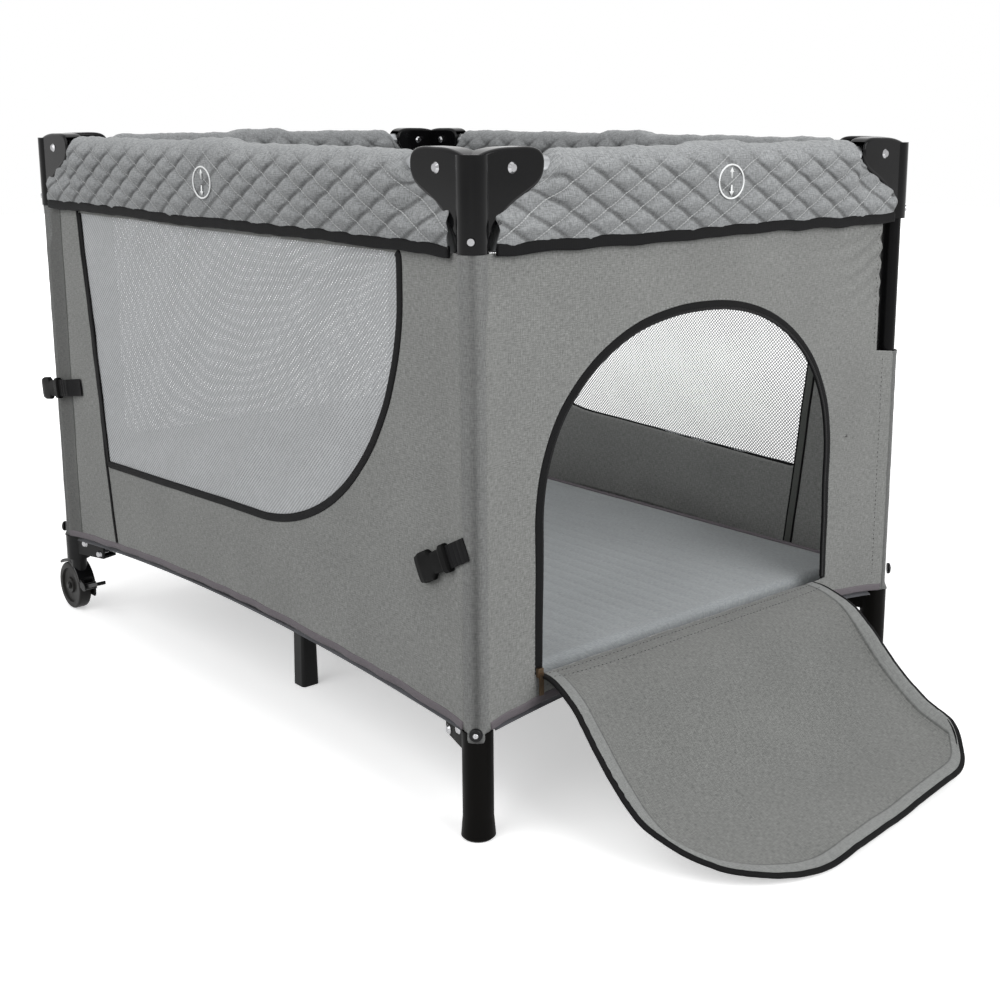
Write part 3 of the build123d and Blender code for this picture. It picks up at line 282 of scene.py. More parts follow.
def lengths_along(path):
    """Distance run along a path at each of its points."""
    return np.concatenate([[0], np.cumsum(np.linalg.norm(np.diff(path, axis=0), axis=1))])


def put_mesh(name, points, faces, uv, material, closed=False, marks=None):
    """A mesh object at the origin from points, faces and one UV per face corner. A closed form is welded and
    its faces turned outwards."""
    mesh = bpy.data.meshes.new(name)
    mesh.vertices.add(len(points))
    mesh.vertices.foreach_set("co", np.ascontiguousarray(points, dtype=np.float32).ravel())
    mesh.loops.add(faces.size)
    mesh.loops.foreach_set("vertex_index", np.ascontiguousarray(faces, dtype=np.int32).ravel())
    mesh.polygons.add(len(faces))
    mesh.polygons.foreach_set("loop_start", np.arange(0, faces.size, faces.shape[1], dtype=np.int32))
    mesh.polygons.foreach_set("use_smooth", np.ones(len(faces), dtype=bool))
    layer = mesh.uv_layers.new(name="cloth")
    layer.data.foreach_set("uv", np.ascontiguousarray(uv, dtype=np.float32).ravel())
    for mark, values in (marks or {}).items():
        stored = mesh.attributes.new(mark, "FLOAT", "POINT").data
        stored.foreach_set("value", values.astype(np.float32).ravel())
    mesh.update(calc_edges=True)
    if closed:
        shell = bmesh.new()
        shell.from_mesh(mesh)
        bmesh.ops.remove_doubles(shell, verts=shell.verts, dist=1e-6)
        bmesh.ops.recalc_face_normals(shell, faces=shell.faces)
        shell.to_mesh(mesh)
        shell.free()
    mesh.validate()
    mesh.materials.append(material)
    piece = bpy.data.objects.new(name, mesh)
    bpy.context.scene.collection.objects.link(piece)
    return piece


def grid_piece(name, points, uv, material, wrap=(False, False), ends=False, marks=None):
    """A mesh over a grid of points, rows by columns. A wrapped direction closes on itself, and closed ends
    draw the first and last rows in to their middles. UVs have one more row or column where the grid wraps."""
    if ends:
        caps = [np.broadcast_to(points[i].mean(0), points[i].shape)[None] for i in (0, -1)]
        points = np.concatenate([caps[0], points, caps[1]])
        uv = np.concatenate([uv[:1], uv, uv[-1:]])
    rows, cols = points.shape[:2]
    i, j = np.meshgrid(np.arange(rows - 1 + wrap[0]), np.arange(cols - 1 + wrap[1]), indexing="ij")
    corners = [(i, j), (i + 1, j), (i + 1, j + 1), (i, j + 1)]
    faces = np.stack([(a % rows) * cols + b % cols for a, b in corners], -1).reshape(-1, 4)
    face_uv = np.stack([uv[a, b] for a, b in corners], -2).reshape(-1, 2)
    return put_mesh(name, points.reshape(-1, 3), faces, face_uv, material, ends, marks)


def tape_piece(name, path, across, up, width, thickness, material, closed=False, columns=14):
    """A flat tape: the section |a|^4 + |b|^3 = 1, as wide as the tape along across and as thick along up,
    carried along the path."""
    turn = np.arange(columns) / columns * tau
    a = signed_power(np.cos(turn), 0.5) * width / 2
    b = signed_power(np.sin(turn), 0.67) * thickness / 2
    points = path[:, None] + a[None, :, None] * across[:, None] + b[None, :, None] * up[:, None]
    run = lengths_along(np.concatenate([path, path[:1]]) if closed else path)
    uv = together(run[:, None], np.arange(columns + 1)[None] / columns)
    return grid_piece(name, points, uv, material, (closed, True), not closed)


def side_tape(name, side, line, out, width, thickness, material, closed=False):
    """A tape along a line (u, z) of a side, lying in the wall's plane, out outwards at each point."""
    ahead = unit(np.roll(line, -1, 0) - np.roll(line, 1, 0) if closed else np.gradient(line, axis=0))
    path = on_side(side, line[:, 0], out, line[:, 1])
    across = on_side(side, -ahead[:, 1], 0.0, ahead[:, 0]) - on_side(side, np.zeros(len(line)), 0.0, 0.0)
    up = np.broadcast_to(np.array(SIDES[side][2], float), path.shape)
    return tape_piece(name, path, across, up, width, thickness, material, closed)


def stitch_row(name, path, up, material, length=0.0036, gap=0.0026, width=0.0011):
    """A row of stitches along a path: one lozenge of six points every length and gap, raised along up."""
    run = lengths_along(path)

    def read(rows, at):
        """Rows of three columns, given along the path, read at other distances along it."""
        return np.concatenate([np.interp(at, run, rows[:, n]) for n in range(3)], 1)

    starts = np.arange(gap, run[-1] - length - gap, length + gap)[:, None]
    head, tail = read(path, starts), read(path, starts + length)
    lift = read(np.broadcast_to(up, path.shape), starts) * width / 2
    side = unit(np.cross(tail - head, lift)) * width / 2
    middle = (head + tail) / 2
    points = np.stack([head, tail, middle + lift, middle + side, middle - lift, middle - side], 1)
    belt = np.array([2, 3, 4, 5])
    ends = [np.stack([np.full(4, n), belt, np.roll(belt, 2 * n - 1)], -1) for n in (0, 1)]
    faces = (np.arange(len(points))[:, None, None] * 6 + np.concatenate(ends)).reshape(-1, 3)
    uv = np.repeat(np.concatenate([starts, 0 * starts], 1), 24, 0)
    return put_mesh(name, points.reshape(-1, 3), faces, uv, material, True)


def turned_piece(name, seat, axis, profile, material, columns=32):
    """A turned form: the profile (radius, rise) carried round an axis that stands level on its seat."""
    radius, rise = np.array(profile).T[..., None]
    turn = np.linspace(0, tau, columns, endpoint=False)[None]
    level = np.cross(UP, axis)
    points = (seat + rise[..., None] * axis + (radius * np.cos(turn))[..., None] * level
              + (radius * np.sin(turn))[..., None] * UP)
    uv = together(lengths_along(np.array(profile))[:, None], np.linspace(0, 0.05, columns + 1)[None])
    return grid_piece(name, points, uv, material, (False, True), True)


def hem_height(side, u):
    """Hem of a side: a parabola from the posts up to the arch in the middle."""
    return HEM_Z + HEM_ARCH * (1 - (u / SIDES[side][3]) ** 2)


def wall_depth(side, u, z, slack):
    """Distance of a wall outside the post axes: soft plane waves that die out at the posts, where the cloth
    swings out on to the sleeves, shallow gathers above the hem, and at the doorway's back jamb the drag lines
    under the bare post."""
    away = SIDES[side][3] - np.abs(u)
    free = smooth(away, 0.012, 0.070)
    swing = (1 - smooth(away, 0.0, 0.036)) * (1 - smooth(z, COVER_FOOT_Z - 0.075, COVER_FOOT_Z - 0.040))
    depth = WALL_MID + (SLEEVE_R - 0.0006 - WALL_MID) * swing + free * ripples(u, z, SEEDS[side], 0.24, slack)
    gather = np.exp(-np.clip(z - hem_height(side, u), 0, None) / 0.045)
    depth = depth + free * slack * gather * np.sin(tau * u / 0.083 + 1.3 * np.sin(tau * u / 0.31))
    if side == "door":
        near = smooth(u, 0.190, 0.325) * smooth(z, 0.470, 0.540) * bell(z - 0.61, 0.055)
        drag = np.sin(tau * (z - 0.30 * u) / 0.024 + 1.5 * np.sin(tau * u / 0.12))
        depth = depth + 2.2 * slack * near * drag
    return depth


def window_outline(side, step=0.008):
    """Outline of a side's window or doorway, anticlockwise from outside. The doorway's head is the
    superellipse |u / half|^p + |z / rise|^p = 1 over straight jambs."""
    if side == "door":
        turn = np.linspace(0, pi, 160)
        u, z = (signed_power(v, 2 / DOOR_POWER) for v in (np.cos(turn), np.sin(turn)))
        arch = together(DOOR_MID + DOOR_HALF * u, DOOR_ARCH_Z + DOOR_RISE * z)
        foot = [(DOOR_MID - DOOR_HALF, DOOR_SILL_Z), (DOOR_MID + DOOR_HALF, DOOR_SILL_Z)]
        return rounded_path([*arch, *foot], [0] * (len(arch) + 2), True, step)
    if side == "wheel":
        corners = [
            (-WHEEL_HALF, WINDOW_HEAD_Z), (-WHEEL_HALF, WHEEL_SILL_Z),
            (WHEEL_HALF, WHEEL_SILL_Z), (WHEEL_HALF, WINDOW_HEAD_Z),
        ]
        return rounded_path(corners, (0.006, 0.030, 0.030, 0.006), True, step)
    corners = [
        (LONG_HEAD_LEFT, WINDOW_HEAD_Z), (LONG_FOOT_LEFT, LONG_SILL_LEFT_Z),
        (LONG_RIGHT, LONG_SILL_RIGHT_Z), (LONG_RIGHT, WINDOW_HEAD_Z),
    ]
    return rounded_path(corners, (0.006, 0.012, LONG_ROUND, 0.006), True, step)


def wall_outline(side, step=0.008):
    """Outline of a side's wall: posts, head, and the arched hem. Beside the bare post the door wall's edge is
    free and stands further in."""
    half = SIDES[side][3]
    u = np.linspace(-half + WALL_INSET, half - WALL_INSET, 90)
    hem = together(u, hem_height(side, u))
    step_in = []
    if side == "door":
        step_in = [(u[-1], SHORT_SLEEVE_Z), (FREE_EDGE, SHORT_SLEEVE_Z + 0.004)]
    head_right = step_in[-1][0] if step_in else u[-1]
    corners = [*hem, *step_in, (head_right, WALL_HEAD_Z), (u[0], WALL_HEAD_Z)]
    return rounded_path(corners, [0] * len(corners), True, step)


def window_middle(side):
    """A point from which a side's window and wall are both seen whole."""
    return np.array((DOOR_MID, 0.40)) if side == "door" else np.array((0.0, 0.46))


def radius_at(outline, centre, angles):
    """Distance from the centre out to a closed outline along each angle."""
    spoke = outline - centre
    turn = np.arctan2(spoke[:, 1], spoke[:, 0])
    order = np.argsort(turn)
    return np.interp(angles, turn[order], np.hypot(spoke[:, 0], spoke[:, 1])[order], period=tau)


def feed(tree, node, inputs):
    """Gives a node its inputs: a value is set on the socket itself, and another node's socket is linked."""
    for key, value in inputs.items():
        if isinstance(value, bpy.types.NodeSocket):
            tree.links.new(value, node.inputs[key])
        else:
            node.inputs[key].default_value = value


def add_node(tree, kind, settings=None, inputs=None):
    """One shader node with its settings and inputs."""
    made = tree.nodes.new(kind)
    for key, value in (settings or {}).items():
        setattr(made, key, value)
    feed(tree, made, inputs or {})
    return made


def maths(tree, operation, *values):
    """One step of arithmetic on numbers and sockets."""
    return add_node(tree, "ShaderNodeMath", {"operation": operation}, dict(enumerate(values))).outputs[0]


def ranged(tree, value, start=0.0, end=1.0, low=0.0, high=1.0):
    """A value carried from between start and end to between low and high, and held at those."""
    return add_node(tree, "ShaderNodeMapRange", None, {
        "Value": value, "From Min": start, "From Max": end, "To Min": low, "To Max": high}).outputs[0]


def noise(tree, place, size, detail=2.0, roughness=0.5):
    """Noise with lumps of about that size, in the units of the place."""
    return add_node(tree, "ShaderNodeTexNoise", None, {
        "Vector": place, "Scale": 1 / size, "Detail": detail, "Roughness": roughness}).outputs["Fac"]


def bands(tree, place, direction, scale, **more):
    """Waves along a direction, at a scale from WAVE or WAVE_SLANT over their length."""
    return add_node(tree, "ShaderNodeTexWave", {"bands_direction": direction}, {
        "Vector": place, "Scale": scale, **more}).outputs["Fac"]


def scaled(tree, shade, factor):
    """A colour made darker or paler by a factor."""
    return add_node(tree, "ShaderNodeVectorMath", {"operation": "SCALE"}, {
        0: shade, "Scale": factor}).outputs[0]


def mixed(tree, share, first, second):
    """Two colours mixed by the second one's share."""
    return add_node(tree, "ShaderNodeMix", {"data_type": "RGBA"}, {0: share, 6: first, 7: second}).outputs[2]


def stretched(tree, place, scale):
    """A place multiplied along each axis."""
    return add_node(tree, "ShaderNodeMapping", None, {"Vector": place, "Scale": scale}).outputs[0]


def bumped(tree, height, strength, depth):
    """The surface raised by a pattern, by up to depth in metres."""
    return add_node(tree, "ShaderNodeBump", None, {
        "Height": height, "Strength": strength, "Distance": depth}).outputs[0]


def place_of(tree, kind):
    """Where on the piece: UV is flat on the cloth and Object is in space, both in metres."""
    return add_node(tree, "ShaderNodeTexCoord").outputs[kind]


def mark_of(tree, name):
    """A mark stored on the mesh's points."""
    return add_node(tree, "ShaderNodeAttribute", {"attribute_name": name}).outputs["Fac"]


def dashes(tree, along, per_dash, share):
    """1 on each dash along a line and 0 between them, for that share of every step."""
    return maths(tree, "LESS_THAN", maths(tree, "FRACT", maths(tree, "MULTIPLY", along, per_dash)), share)


def finish_of(name):
    """An empty material with its node tree and principled shader."""
    material = bpy.data.materials.new(name)
    material.use_nodes = True
    tree = material.node_tree
    return material, tree, tree.nodes["Principled BSDF"]


def seen_rays(tree):
    """1 for rays that reach the eye, straight or by a mirror or glass, and 0 for those that carry light."""
    path = add_node(tree, "ShaderNodeLightPath").outputs
    seen = path["Is Camera Ray"]
    for kind in ("Is Glossy Ray", "Is Transmission Ray"):
        seen = maths(tree, "MAXIMUM", seen, path[kind])
    return seen


def sew_quilting(tree, uv, shade, quilt):
    """Quilting on a cloth: pale dashes of thread along both slants of the diamonds, with painted shade along the
    seams.
    The thread is drawn strong on the slant that faces the light and faint on the other, which lies in its own
    shade: painted light."""
    wide, tall = quilt
    pitch = 1 / sqrt(wide**-2 + tall**-2)
    split = add_node(tree, "ShaderNodeSeparateXYZ", None, {0: uv}).outputs
    shares = [maths(tree, "DIVIDE", split[n], size) for n, size in enumerate(quilt)]
    rising, falling = (maths(tree, kind, *shares) for kind in ("ADD", "SUBTRACT"))
    threads, groove_shades = [], []
    # Per slant: how strongly the pale thread shows, as painted light, and how dark the painted shade along its
    # seam gets
    for line, along, lit_thread_share, low in ((rising, falling, 0.90, 0.76), (falling, rising, 0.16, 0.38)):
        away = maths(tree, "PINGPONG", line, 0.5)
        thread = ranged(tree, away, 0.0003 / pitch, 0.0009 / pitch, lit_thread_share, 0.0)
        dash = dashes(tree, along, wide * tall / (2 * pitch) / 0.0040, 0.80)
        threads.append(maths(tree, "MULTIPLY", thread, dash))
        groove_shades.append(ranged(tree, away, 0.0, 0.0040 / pitch, low, 1.0))
    # Painted shade along the seams, where the quilting is sewn
    groove_shade = ranged(tree, mark_of(tree, "sewn"), 0.0, 1.0, 1.0, maths(tree, "MULTIPLY", *groove_shades))
    shown = maths(tree, "MULTIPLY", maths(tree, "MAXIMUM", *threads), mark_of(tree, "thread"))
    return mixed(tree, shown, scaled(tree, shade, groove_shade), hex_colour("#c2c4c4"))


def sew_hem(tree, shade, hem):
    """A hem on a cloth: a paler band of that width along its edge, with a dark sewn line where it ends."""
    edge = mark_of(tree, "edge")
    band = ranged(tree, edge, hem - 0.0006, hem + 0.0006, 0.20, 0.0)
    off = maths(tree, "ABSOLUTE", maths(tree, "SUBTRACT", edge, hem))
    line = ranged(tree, off, 0.0005, 0.0016, 0.62, 1.0)
    return scaled(tree, mixed(tree, band, shade, hex_colour("#a9acac")), line)


def melange_cloth(name, colour, contrast=0.16, sheen=0.12, quilt=None, hem=0.0, fold=0.0):
    """Melange polyester, woven from yarn spun of dark and pale fibre: each thread changes shade every few
    millimetres, so the cloth reads as a soft grey fleck. Threads are drawn 1.2 mm apart so that they show.
    The cloth may be quilted or hemmed, and a mark on the mesh darkens it: painted shade on the sleeves and the
    covers' inner cheeks, and a plain darkening beyond the walls' corner seams."""
    material, tree, shader = finish_of(name)
    uv = place_of(tree, "UV")
    flecks = [
        noise(tree, stretched(tree, uv, (1 / long, 1 / high, 1)), 1.0, 2.0, 0.6)
        for long, high in ((SLUB, YARN), (YARN, SLUB))
    ]
    fleck = ranged(tree, maths(tree, "ADD", *flecks), 0.72, 1.28)
    tone = ranged(tree, noise(tree, uv, 0.11, 3.0), 0.3, 0.7, 0.95, 1.05)
    dark, pale = (
        (*(min(1.0, c * (1 + sign * contrast) ** 2) for c in colour[:3]), 1.0) for sign in (-1, 1)
    )
    shade = scaled(tree, mixed(tree, fleck, dark, pale), tone)
    weave = [bands(tree, uv, way, WAVE / (2 * YARN), Distortion=0.6, Detail=1.0) for way in ("X", "Y")]
    if quilt:
        shade = sew_quilting(tree, uv, shade, quilt)
    if hem:
        shade = sew_hem(tree, shade, hem)
    # A mark on the mesh darkens the cloth by up to this share; on the sleeves and the covers' inner cheeks it is
    # painted shade
    if fold:
        shade = scaled(tree, shade, ranged(tree, mark_of(tree, "fold"), 0.0, 1.0, 1.0, 1 - fold))
    feed(tree, shader, {
        "Base Color": shade, "Normal": bumped(tree, maths(tree, "MULTIPLY", *weave), 0.35, 0.0004),
        "Roughness": 0.92, "Specular IOR Level": 0.25, "Sheen Weight": sheen, "Sheen Roughness": 0.55,
    })
    return material


def woven_tape(name, colour, roughness=0.7, rib=0.0016):
    """Woven polyester tape: cross ribs a little over a millimetre apart catch the light along it, and they
    rise and sink in the rhythm of the stitches that hold it down."""
    material, tree, shader = finish_of(name)
    uv = place_of(tree, "UV")
    along = add_node(tree, "ShaderNodeSeparateXYZ", None, {0: uv}).outputs[0]
    ribs = bands(tree, uv, "X", WAVE / rib)
    height = maths(tree, "MULTIPLY_ADD", dashes(tree, along, 1 / 0.0034, 0.6), 0.4, ribs)
    feed(tree, shader, {
        "Base Color": scaled(tree, colour[:3], ranged(tree, noise(tree, uv, 0.006), 0.0, 1.0, 0.65, 1.4)),
        "Normal": bumped(tree, height, 0.4, 0.0004), "Roughness": roughness, "Specular IOR Level": 0.12,
    })
    return material


def knitted_net(name, colour):
    """Warp-knitted polyester net: matt pale threads, a little uneven in shade from mesh to mesh, and ribbed
    along the slant of the knit every few millimetres."""
    material, tree, shader = finish_of(name)
    tone = ranged(tree, noise(tree, place_of(tree, "Object"), 0.009), 0.0, 1.0, 0.86, 1.1)
    slant = stretched(tree, place_of(tree, "UV"), (1, -1, 1))
    ribs = ranged(tree, bands(tree, slant, "DIAGONAL", WAVE_SLANT / 0.0040), 0.0, 1.0, 0.72, 1.18)
    feed(tree, shader, {
        "Base Color": scaled(tree, colour[:3], maths(tree, "MULTIPLY", tone, ribs)),
        "Roughness": 0.8, "Sheen Weight": 0.1,
    })
    return material


def hard_finish(name, colour, roughness, rub, gloss, tones, grain, values):
    """A hard surface that is a little uneven where it has been rubbed: rub is the size and detail of the
    patches, gloss and tones are the shares of roughness and colour between them, and grain is the size, strength
    and depth of the surface's own grain."""
    material, tree, shader = finish_of(name)
    place = place_of(tree, "Object")
    patches = noise(tree, place, *rub)
    feed(tree, shader, {
        "Base Color": scaled(tree, colour[:3], ranged(tree, patches, 0.0, 1.0, *tones)),
        "Roughness": ranged(tree, patches, 0.3, 0.7, *(roughness * share for share in gloss)),
        "Normal": bumped(tree, noise(tree, place, grain[0]), *grain[1:]), **values,
    })
    return material


def moulded_plastic(name, colour, roughness, specular=0.5):
    """Injection-moulded polypropylene: a fine spark-eroded grain that softens the highlight, with gloss that
    varies a little where hands have rubbed it."""
    return hard_finish(name, colour, roughness, (0.035, 4.0), (0.8, 1.25), (0.8, 1.25),
                       (0.0009, 0.25, 0.00006), {"IOR": 1.49, "Specular IOR Level": specular})


def drawn_metal(name, colour, roughness, metallic=1.0, specular=0.5):
    """Drawn steel, plated or powder coated: faint streaks and an orange-peel ripple break up the mirror."""
    return hard_finish(name, colour, roughness, (0.02, 5.0), (0.8, 1.3), (0.85, 1.12),
                       (0.0007, 0.15, 0.00005), {"Metallic": metallic, "Specular IOR Level": specular})


def material_once(name, make, *args, **more):
    """The material of that name, made the first time it is asked for."""
    return bpy.data.materials.get(name) or make(name, *args, **more)


def solid_cloth(piece, thickness):
    """Gives a sheet its thickness, half to each side."""
    shell = piece.modifiers.new("cloth thickness", "SOLIDIFY")
    shell.thickness = thickness
    shell.offset = 0


def carry(piece, body):
    """Sets the body that the piece rides."""
    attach(piece, body)


def carry_side(piece, side):
    """The piece rides its side's post, with a mesh of its own."""
    middle, along, outward, half, body = SIDES[side]
    carry(piece, body)
    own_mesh(piece)


class PLAYPEN_OT_stage(bpy.types.Operator):
    """Adds the pale floor, the soft studio light and the camera at the photograph's place"""

    bl_idname = "playpen.stage"
    bl_label = "Stage"

    def execute(self, context):
        scene = context.scene
        scene.view_settings.view_transform = "Standard"
        world = bpy.data.worlds.new("studio")
        world.use_nodes = True
        scene.world = world
        tree = world.node_tree
        feed(tree, tree.nodes["Background"], {
            "Color": hex_colour("#ffffff"), "Strength": ranged(tree, seen_rays(tree), 0.0, 1.0, 0.52, 1.0)})
        # Matt paper: white to the eye, with the shadow left on it, and greyer as a source of bounced light
        material, tree, shader = finish_of("pale studio paper")
        seen = seen_rays(tree)
        place = place_of(tree, "Object")
        far = add_node(tree, "ShaderNodeVectorMath", {"operation": "LENGTH"}, {0: place}).outputs["Value"]
        feed(tree, shader, {
            "Base Color": mixed(tree, seen, hex_colour("#9c9c9c"), hex_colour("#fafafa")),
            "Normal": bumped(tree, noise(tree, place, 0.004), 0.02, 0.0002),
            "Emission Strength": maths(tree, "MULTIPLY", seen, ranged(tree, far, 1.2, 2.6, 0.45, 1.0)),
            "Emission Color": hex_colour("#ffffff"), "Roughness": 0.9, "Specular IOR Level": 0.1,
        })
        reach = np.linspace(-9.0, 9.0, 3)
        x, y = np.meshgrid(reach, reach, indexing="ij")
        points = np.stack([x, y, np.full_like(x, -0.0005)], -1)
        grid_piece("studio_floor", points, points[..., :2], material)
        lamps = (
            ("key light", (0.4, -2.9, 2.3), 3.0, 56.0),
            ("door light", (3.3, 0.3, 2.0), 2.4, 71.0),
            ("top light", (-0.2, 0.4, 3.4), 3.0, 19.0),
        )
        for name, place, size, power in lamps:
            data = bpy.data.lights.new(name, "AREA")
            data.size = size
            data.energy = power
            lamp = bpy.data.objects.new(name, data)
            lamp.location = place
            aim = Vector((0, 0, 0.35)) - lamp.location
            lamp.rotation_euler = aim.to_track_quat("-Z", "Y").to_euler()
            scene.collection.objects.link(lamp)
        turn, tilt = radians(138.152), radians(12.316)
        ahead = Vector((cos(turn) * cos(tilt), sin(turn) * cos(tilt), -sin(tilt)))
        right = Vector((sin(turn), -cos(turn), 0))
        up = right.cross(ahead)
        data = bpy.data.cameras.new("camera")
        data.sensor_width = 36.0
        data.lens = 52.864
        data.shift_x = -0.0433
        data.shift_y = -0.0761
        camera = bpy.data.objects.new("camera", data)
        camera.matrix_world = Matrix.Translation((1.6764, -1.3160, 0.8005)) @ Matrix(
            (right, up, -ahead)
        ).transposed().to_4x4()
        scene.collection.objects.link(camera)
        scene.camera = camera
        return {"FINISHED"}


class PLAYPEN_OT_hardware(bpy.types.Operator):
    """Gives the frame's tubes, caps, feet, castors and fasteners their finishes"""

    bl_idname = "playpen.hardware"
    bl_label = "Frame finishes"

    def execute(self, context):
        colours = context.scene.playpen_colours
        gloss = material_once("glossy polypropylene", moulded_plastic, colours.plastic, 0.13, 0.17)
        satin = material_once("satin polypropylene", moulded_plastic, colours.plastic, 0.36, 0.20)
        matt = material_once("matt polypropylene", moulded_plastic, hex_colour("#090807"), 0.45, 0.05)
        coat = material_once("black powder coat", drawn_metal, hex_colour("#09090a"), 0.30, 0.0, 0.06)
        bright = material_once("plated steel tube", drawn_metal, hex_colour("#a9abad"), 0.30)
        rivet = material_once("nickel rivet", drawn_metal, hex_colour("#a3a3a5"), 0.20)
        bronze = material_once("bronze zip pull", drawn_metal, hex_colour("#6b5a48"), 0.34)
        rubber = material_once("black castor rubber", moulded_plastic, hex_colour("#1a1918"), 0.5, 0.2)
        button = material_once("grey button plastic", moulded_plastic, hex_colour("#8d8f91"), 0.4)
        finishes = {
            "post_": coat, "corner_cap_": gloss, "fasteners_": rivet, "foot_": matt,
            "castor_bracket_": satin, "castor_hood_": satin, "castor_wheel_": rubber, "brake_lever_": satin,
            "rail_": bright, "latch_button_": button, "base_tube_": bright, "cross_link_": bright,
            "mid_leg_": satin, "floor_hub": satin, "zip_slider": bronze,
        }
        for name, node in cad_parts.items():
            fits = [key for key in finishes if name.startswith(key)]
            if fits:
                node.data.materials.clear()
                node.data.materials.append(finishes[max(fits, key=len)])
        return {"FINISHED"}


class PLAYPEN_OT_walls(bpy.types.Operator):
    """Makes the four cloth walls with their window bindings, piping, zip tape and hem tapes"""

    bl_idname = "playpen.walls"
    bl_label = "Walls"

    def execute(self, context):
        sizes, colours = context.scene.playpen_sizes, context.scene.playpen_colours
        cloth = material_once("melange wall cloth", melange_cloth, colours.wall, fold=0.50)
        tape = material_once("black woven tape", woven_tape, colours.tape)
        hemming = material_once("hem tape", woven_tape, colours.hem, 0.6)
        coil = material_once("zip coil", woven_tape, hex_colour("#0c0c0d"), 0.42, 0.0030)
        pale = material_once("pale sewing thread", woven_tape, hex_colour("#a4a6a6"))
        seam = material_once("grey seam tape", woven_tape, hex_colour("#5a5c59"))
        for side in SIDES:
            half = SIDES[side][3]
            inner, outer, middle = window_outline(side), wall_outline(side), window_middle(side)
            spokes = np.concatenate([inner, outer]) - middle
            angles = np.unique(np.round(np.arctan2(spokes[:, 1], spokes[:, 0]), 5))
            near, far = radius_at(inner, middle, angles) - sizes.piping / 2, radius_at(outer, middle, angles)
            share = np.linspace(0, 1, 26)
            reach = near[:, None] + (far - near)[:, None] * share
            u = middle[0] + reach * np.cos(angles)[:, None]
            z = middle[1] + reach * np.sin(angles)[:, None]
            points = on_side(side, u, wall_depth(side, u, z, sizes.slack), z)
            uv = together(u, z)
            seams = CORNER_SEAMS[side]
            # The cloth beyond each corner seam, round the wheel-end posts, is drawn at half its brightness
            fold = sum(smooth(sign * (u - at), -0.0006, 0.0006) for at, sign in seams) + 0 * u
            wall = grid_piece(f"wall_cloth_{side}", points, np.concatenate([uv, uv[:1]]), cloth,
                              (True, False), marks={"fold": fold})
            solid_cloth(wall, sizes.wall_thickness)
            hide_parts(f"wall_{side}")
            trims = []

            def skin(line, face=1):
                """Distance outwards of the wall's outer face along a line, or of its inner one at -1."""
                return wall_depth(side, *line.T, sizes.slack) + face * sizes.wall_thickness / 2

            def trim(name, line, width, thickness, material, closed=False, face=1):
                """A tape sewn to a face of this wall along a line."""
                out = skin(line, face)
                trims.append(side_tape(f"{name}_{side}", side, line, out, width, thickness, material, closed))
                carry_side(trims[-1], side)

            def sew(name, line, material):
                """A row of stitches on this wall along a line."""
                path = on_side(side, line[:, 0], skin(line), line[:, 1])
                trims.append(stitch_row(f"{name}_{side}", path, SIDES[side][2], material))
                carry_side(trims[-1], side)

            for number, (at, _) in enumerate(seams):
                heights = np.linspace(hem_height(side, at) + 0.004, WALL_HEAD_Z, 120)
                trim(f"corner_seam_{number}", together(at, heights), 0.0022, 0.0016, seam)
            fine = window_outline(side, 0.004)
            if side == "door":
                arch = open_at_gap(fine[fine[:, 1] > DOOR_SILL_Z + 1e-4])
                trim("zip_tape", arch, sizes.zip_tape, 0.0034, tape)
                spokes = arch - middle
                lengths = np.hypot(*spokes.T)[:, None]
                trim("zip_coil", arch - spokes / lengths * sizes.zip_tape * 0.55, 0.0042, 0.0040, coil)
                sew("zip_stitch", arch + spokes / lengths * (sizes.zip_tape / 2 + 0.0016), pale)
                free = np.linspace(SHORT_SLEEVE_Z + 0.012, WALL_HEAD_Z - 0.004, 60)
                sew("edge_stitch", together(FREE_EDGE - 0.0065, free), tape)
                sunk = np.linspace(HEM_Z + 0.024, SHORT_SLEEVE_Z - 0.004, 90)
                sew("seam_stitch", together(half - 0.0230, sunk), tape)
            elif side in ("front", "back"):
                slope = (LONG_FOOT_LEFT - LONG_HEAD_LEFT) / (WINDOW_HEAD_Z - LONG_SILL_LEFT_Z)
                heights = np.linspace(WALL_HEAD_Z, 0.152, 130)
                pipe = together(LONG_HEAD_LEFT + slope * (WINDOW_HEAD_Z - heights), heights)
                trim("piping", pipe, sizes.piping, 0.0044, tape)
                lap = pipe[pipe[:, 1] < LONG_SILL_LEFT_Z + 0.30]
                trim("seam_tape", lap, 0.0130, 0.0030, seam, False, -1)
                for edge, shift in (("near", -0.0066), ("far", 0.0066)):
                    trim(f"seam_edge_{edge}", lap + np.array((shift, 0)), 0.0030, 0.0032, tape, False, -1)
                left = LONG_HEAD_LEFT + slope * (WINDOW_HEAD_Z - fine[:, 1])
                bound = fine[(fine[:, 0] > left + 0.003) & (fine[:, 1] < WINDOW_HEAD_Z - 1e-4)]
                trim("window_binding", open_at_gap(bound), sizes.binding, 0.0032, tape)
            else:
                trim("window_binding", fine, sizes.binding, 0.0032, tape, True)
            along = np.linspace(-half + HEM_INSET, half - HEM_INSET, 220)
            hem = together(along, hem_height(side, along) + sizes.hem / 2 - 0.001)
            trim("hem_tape", hem, sizes.hem, 0.0028, hemming)
            carry_side(wall, side)
        return {"FINISHED"}


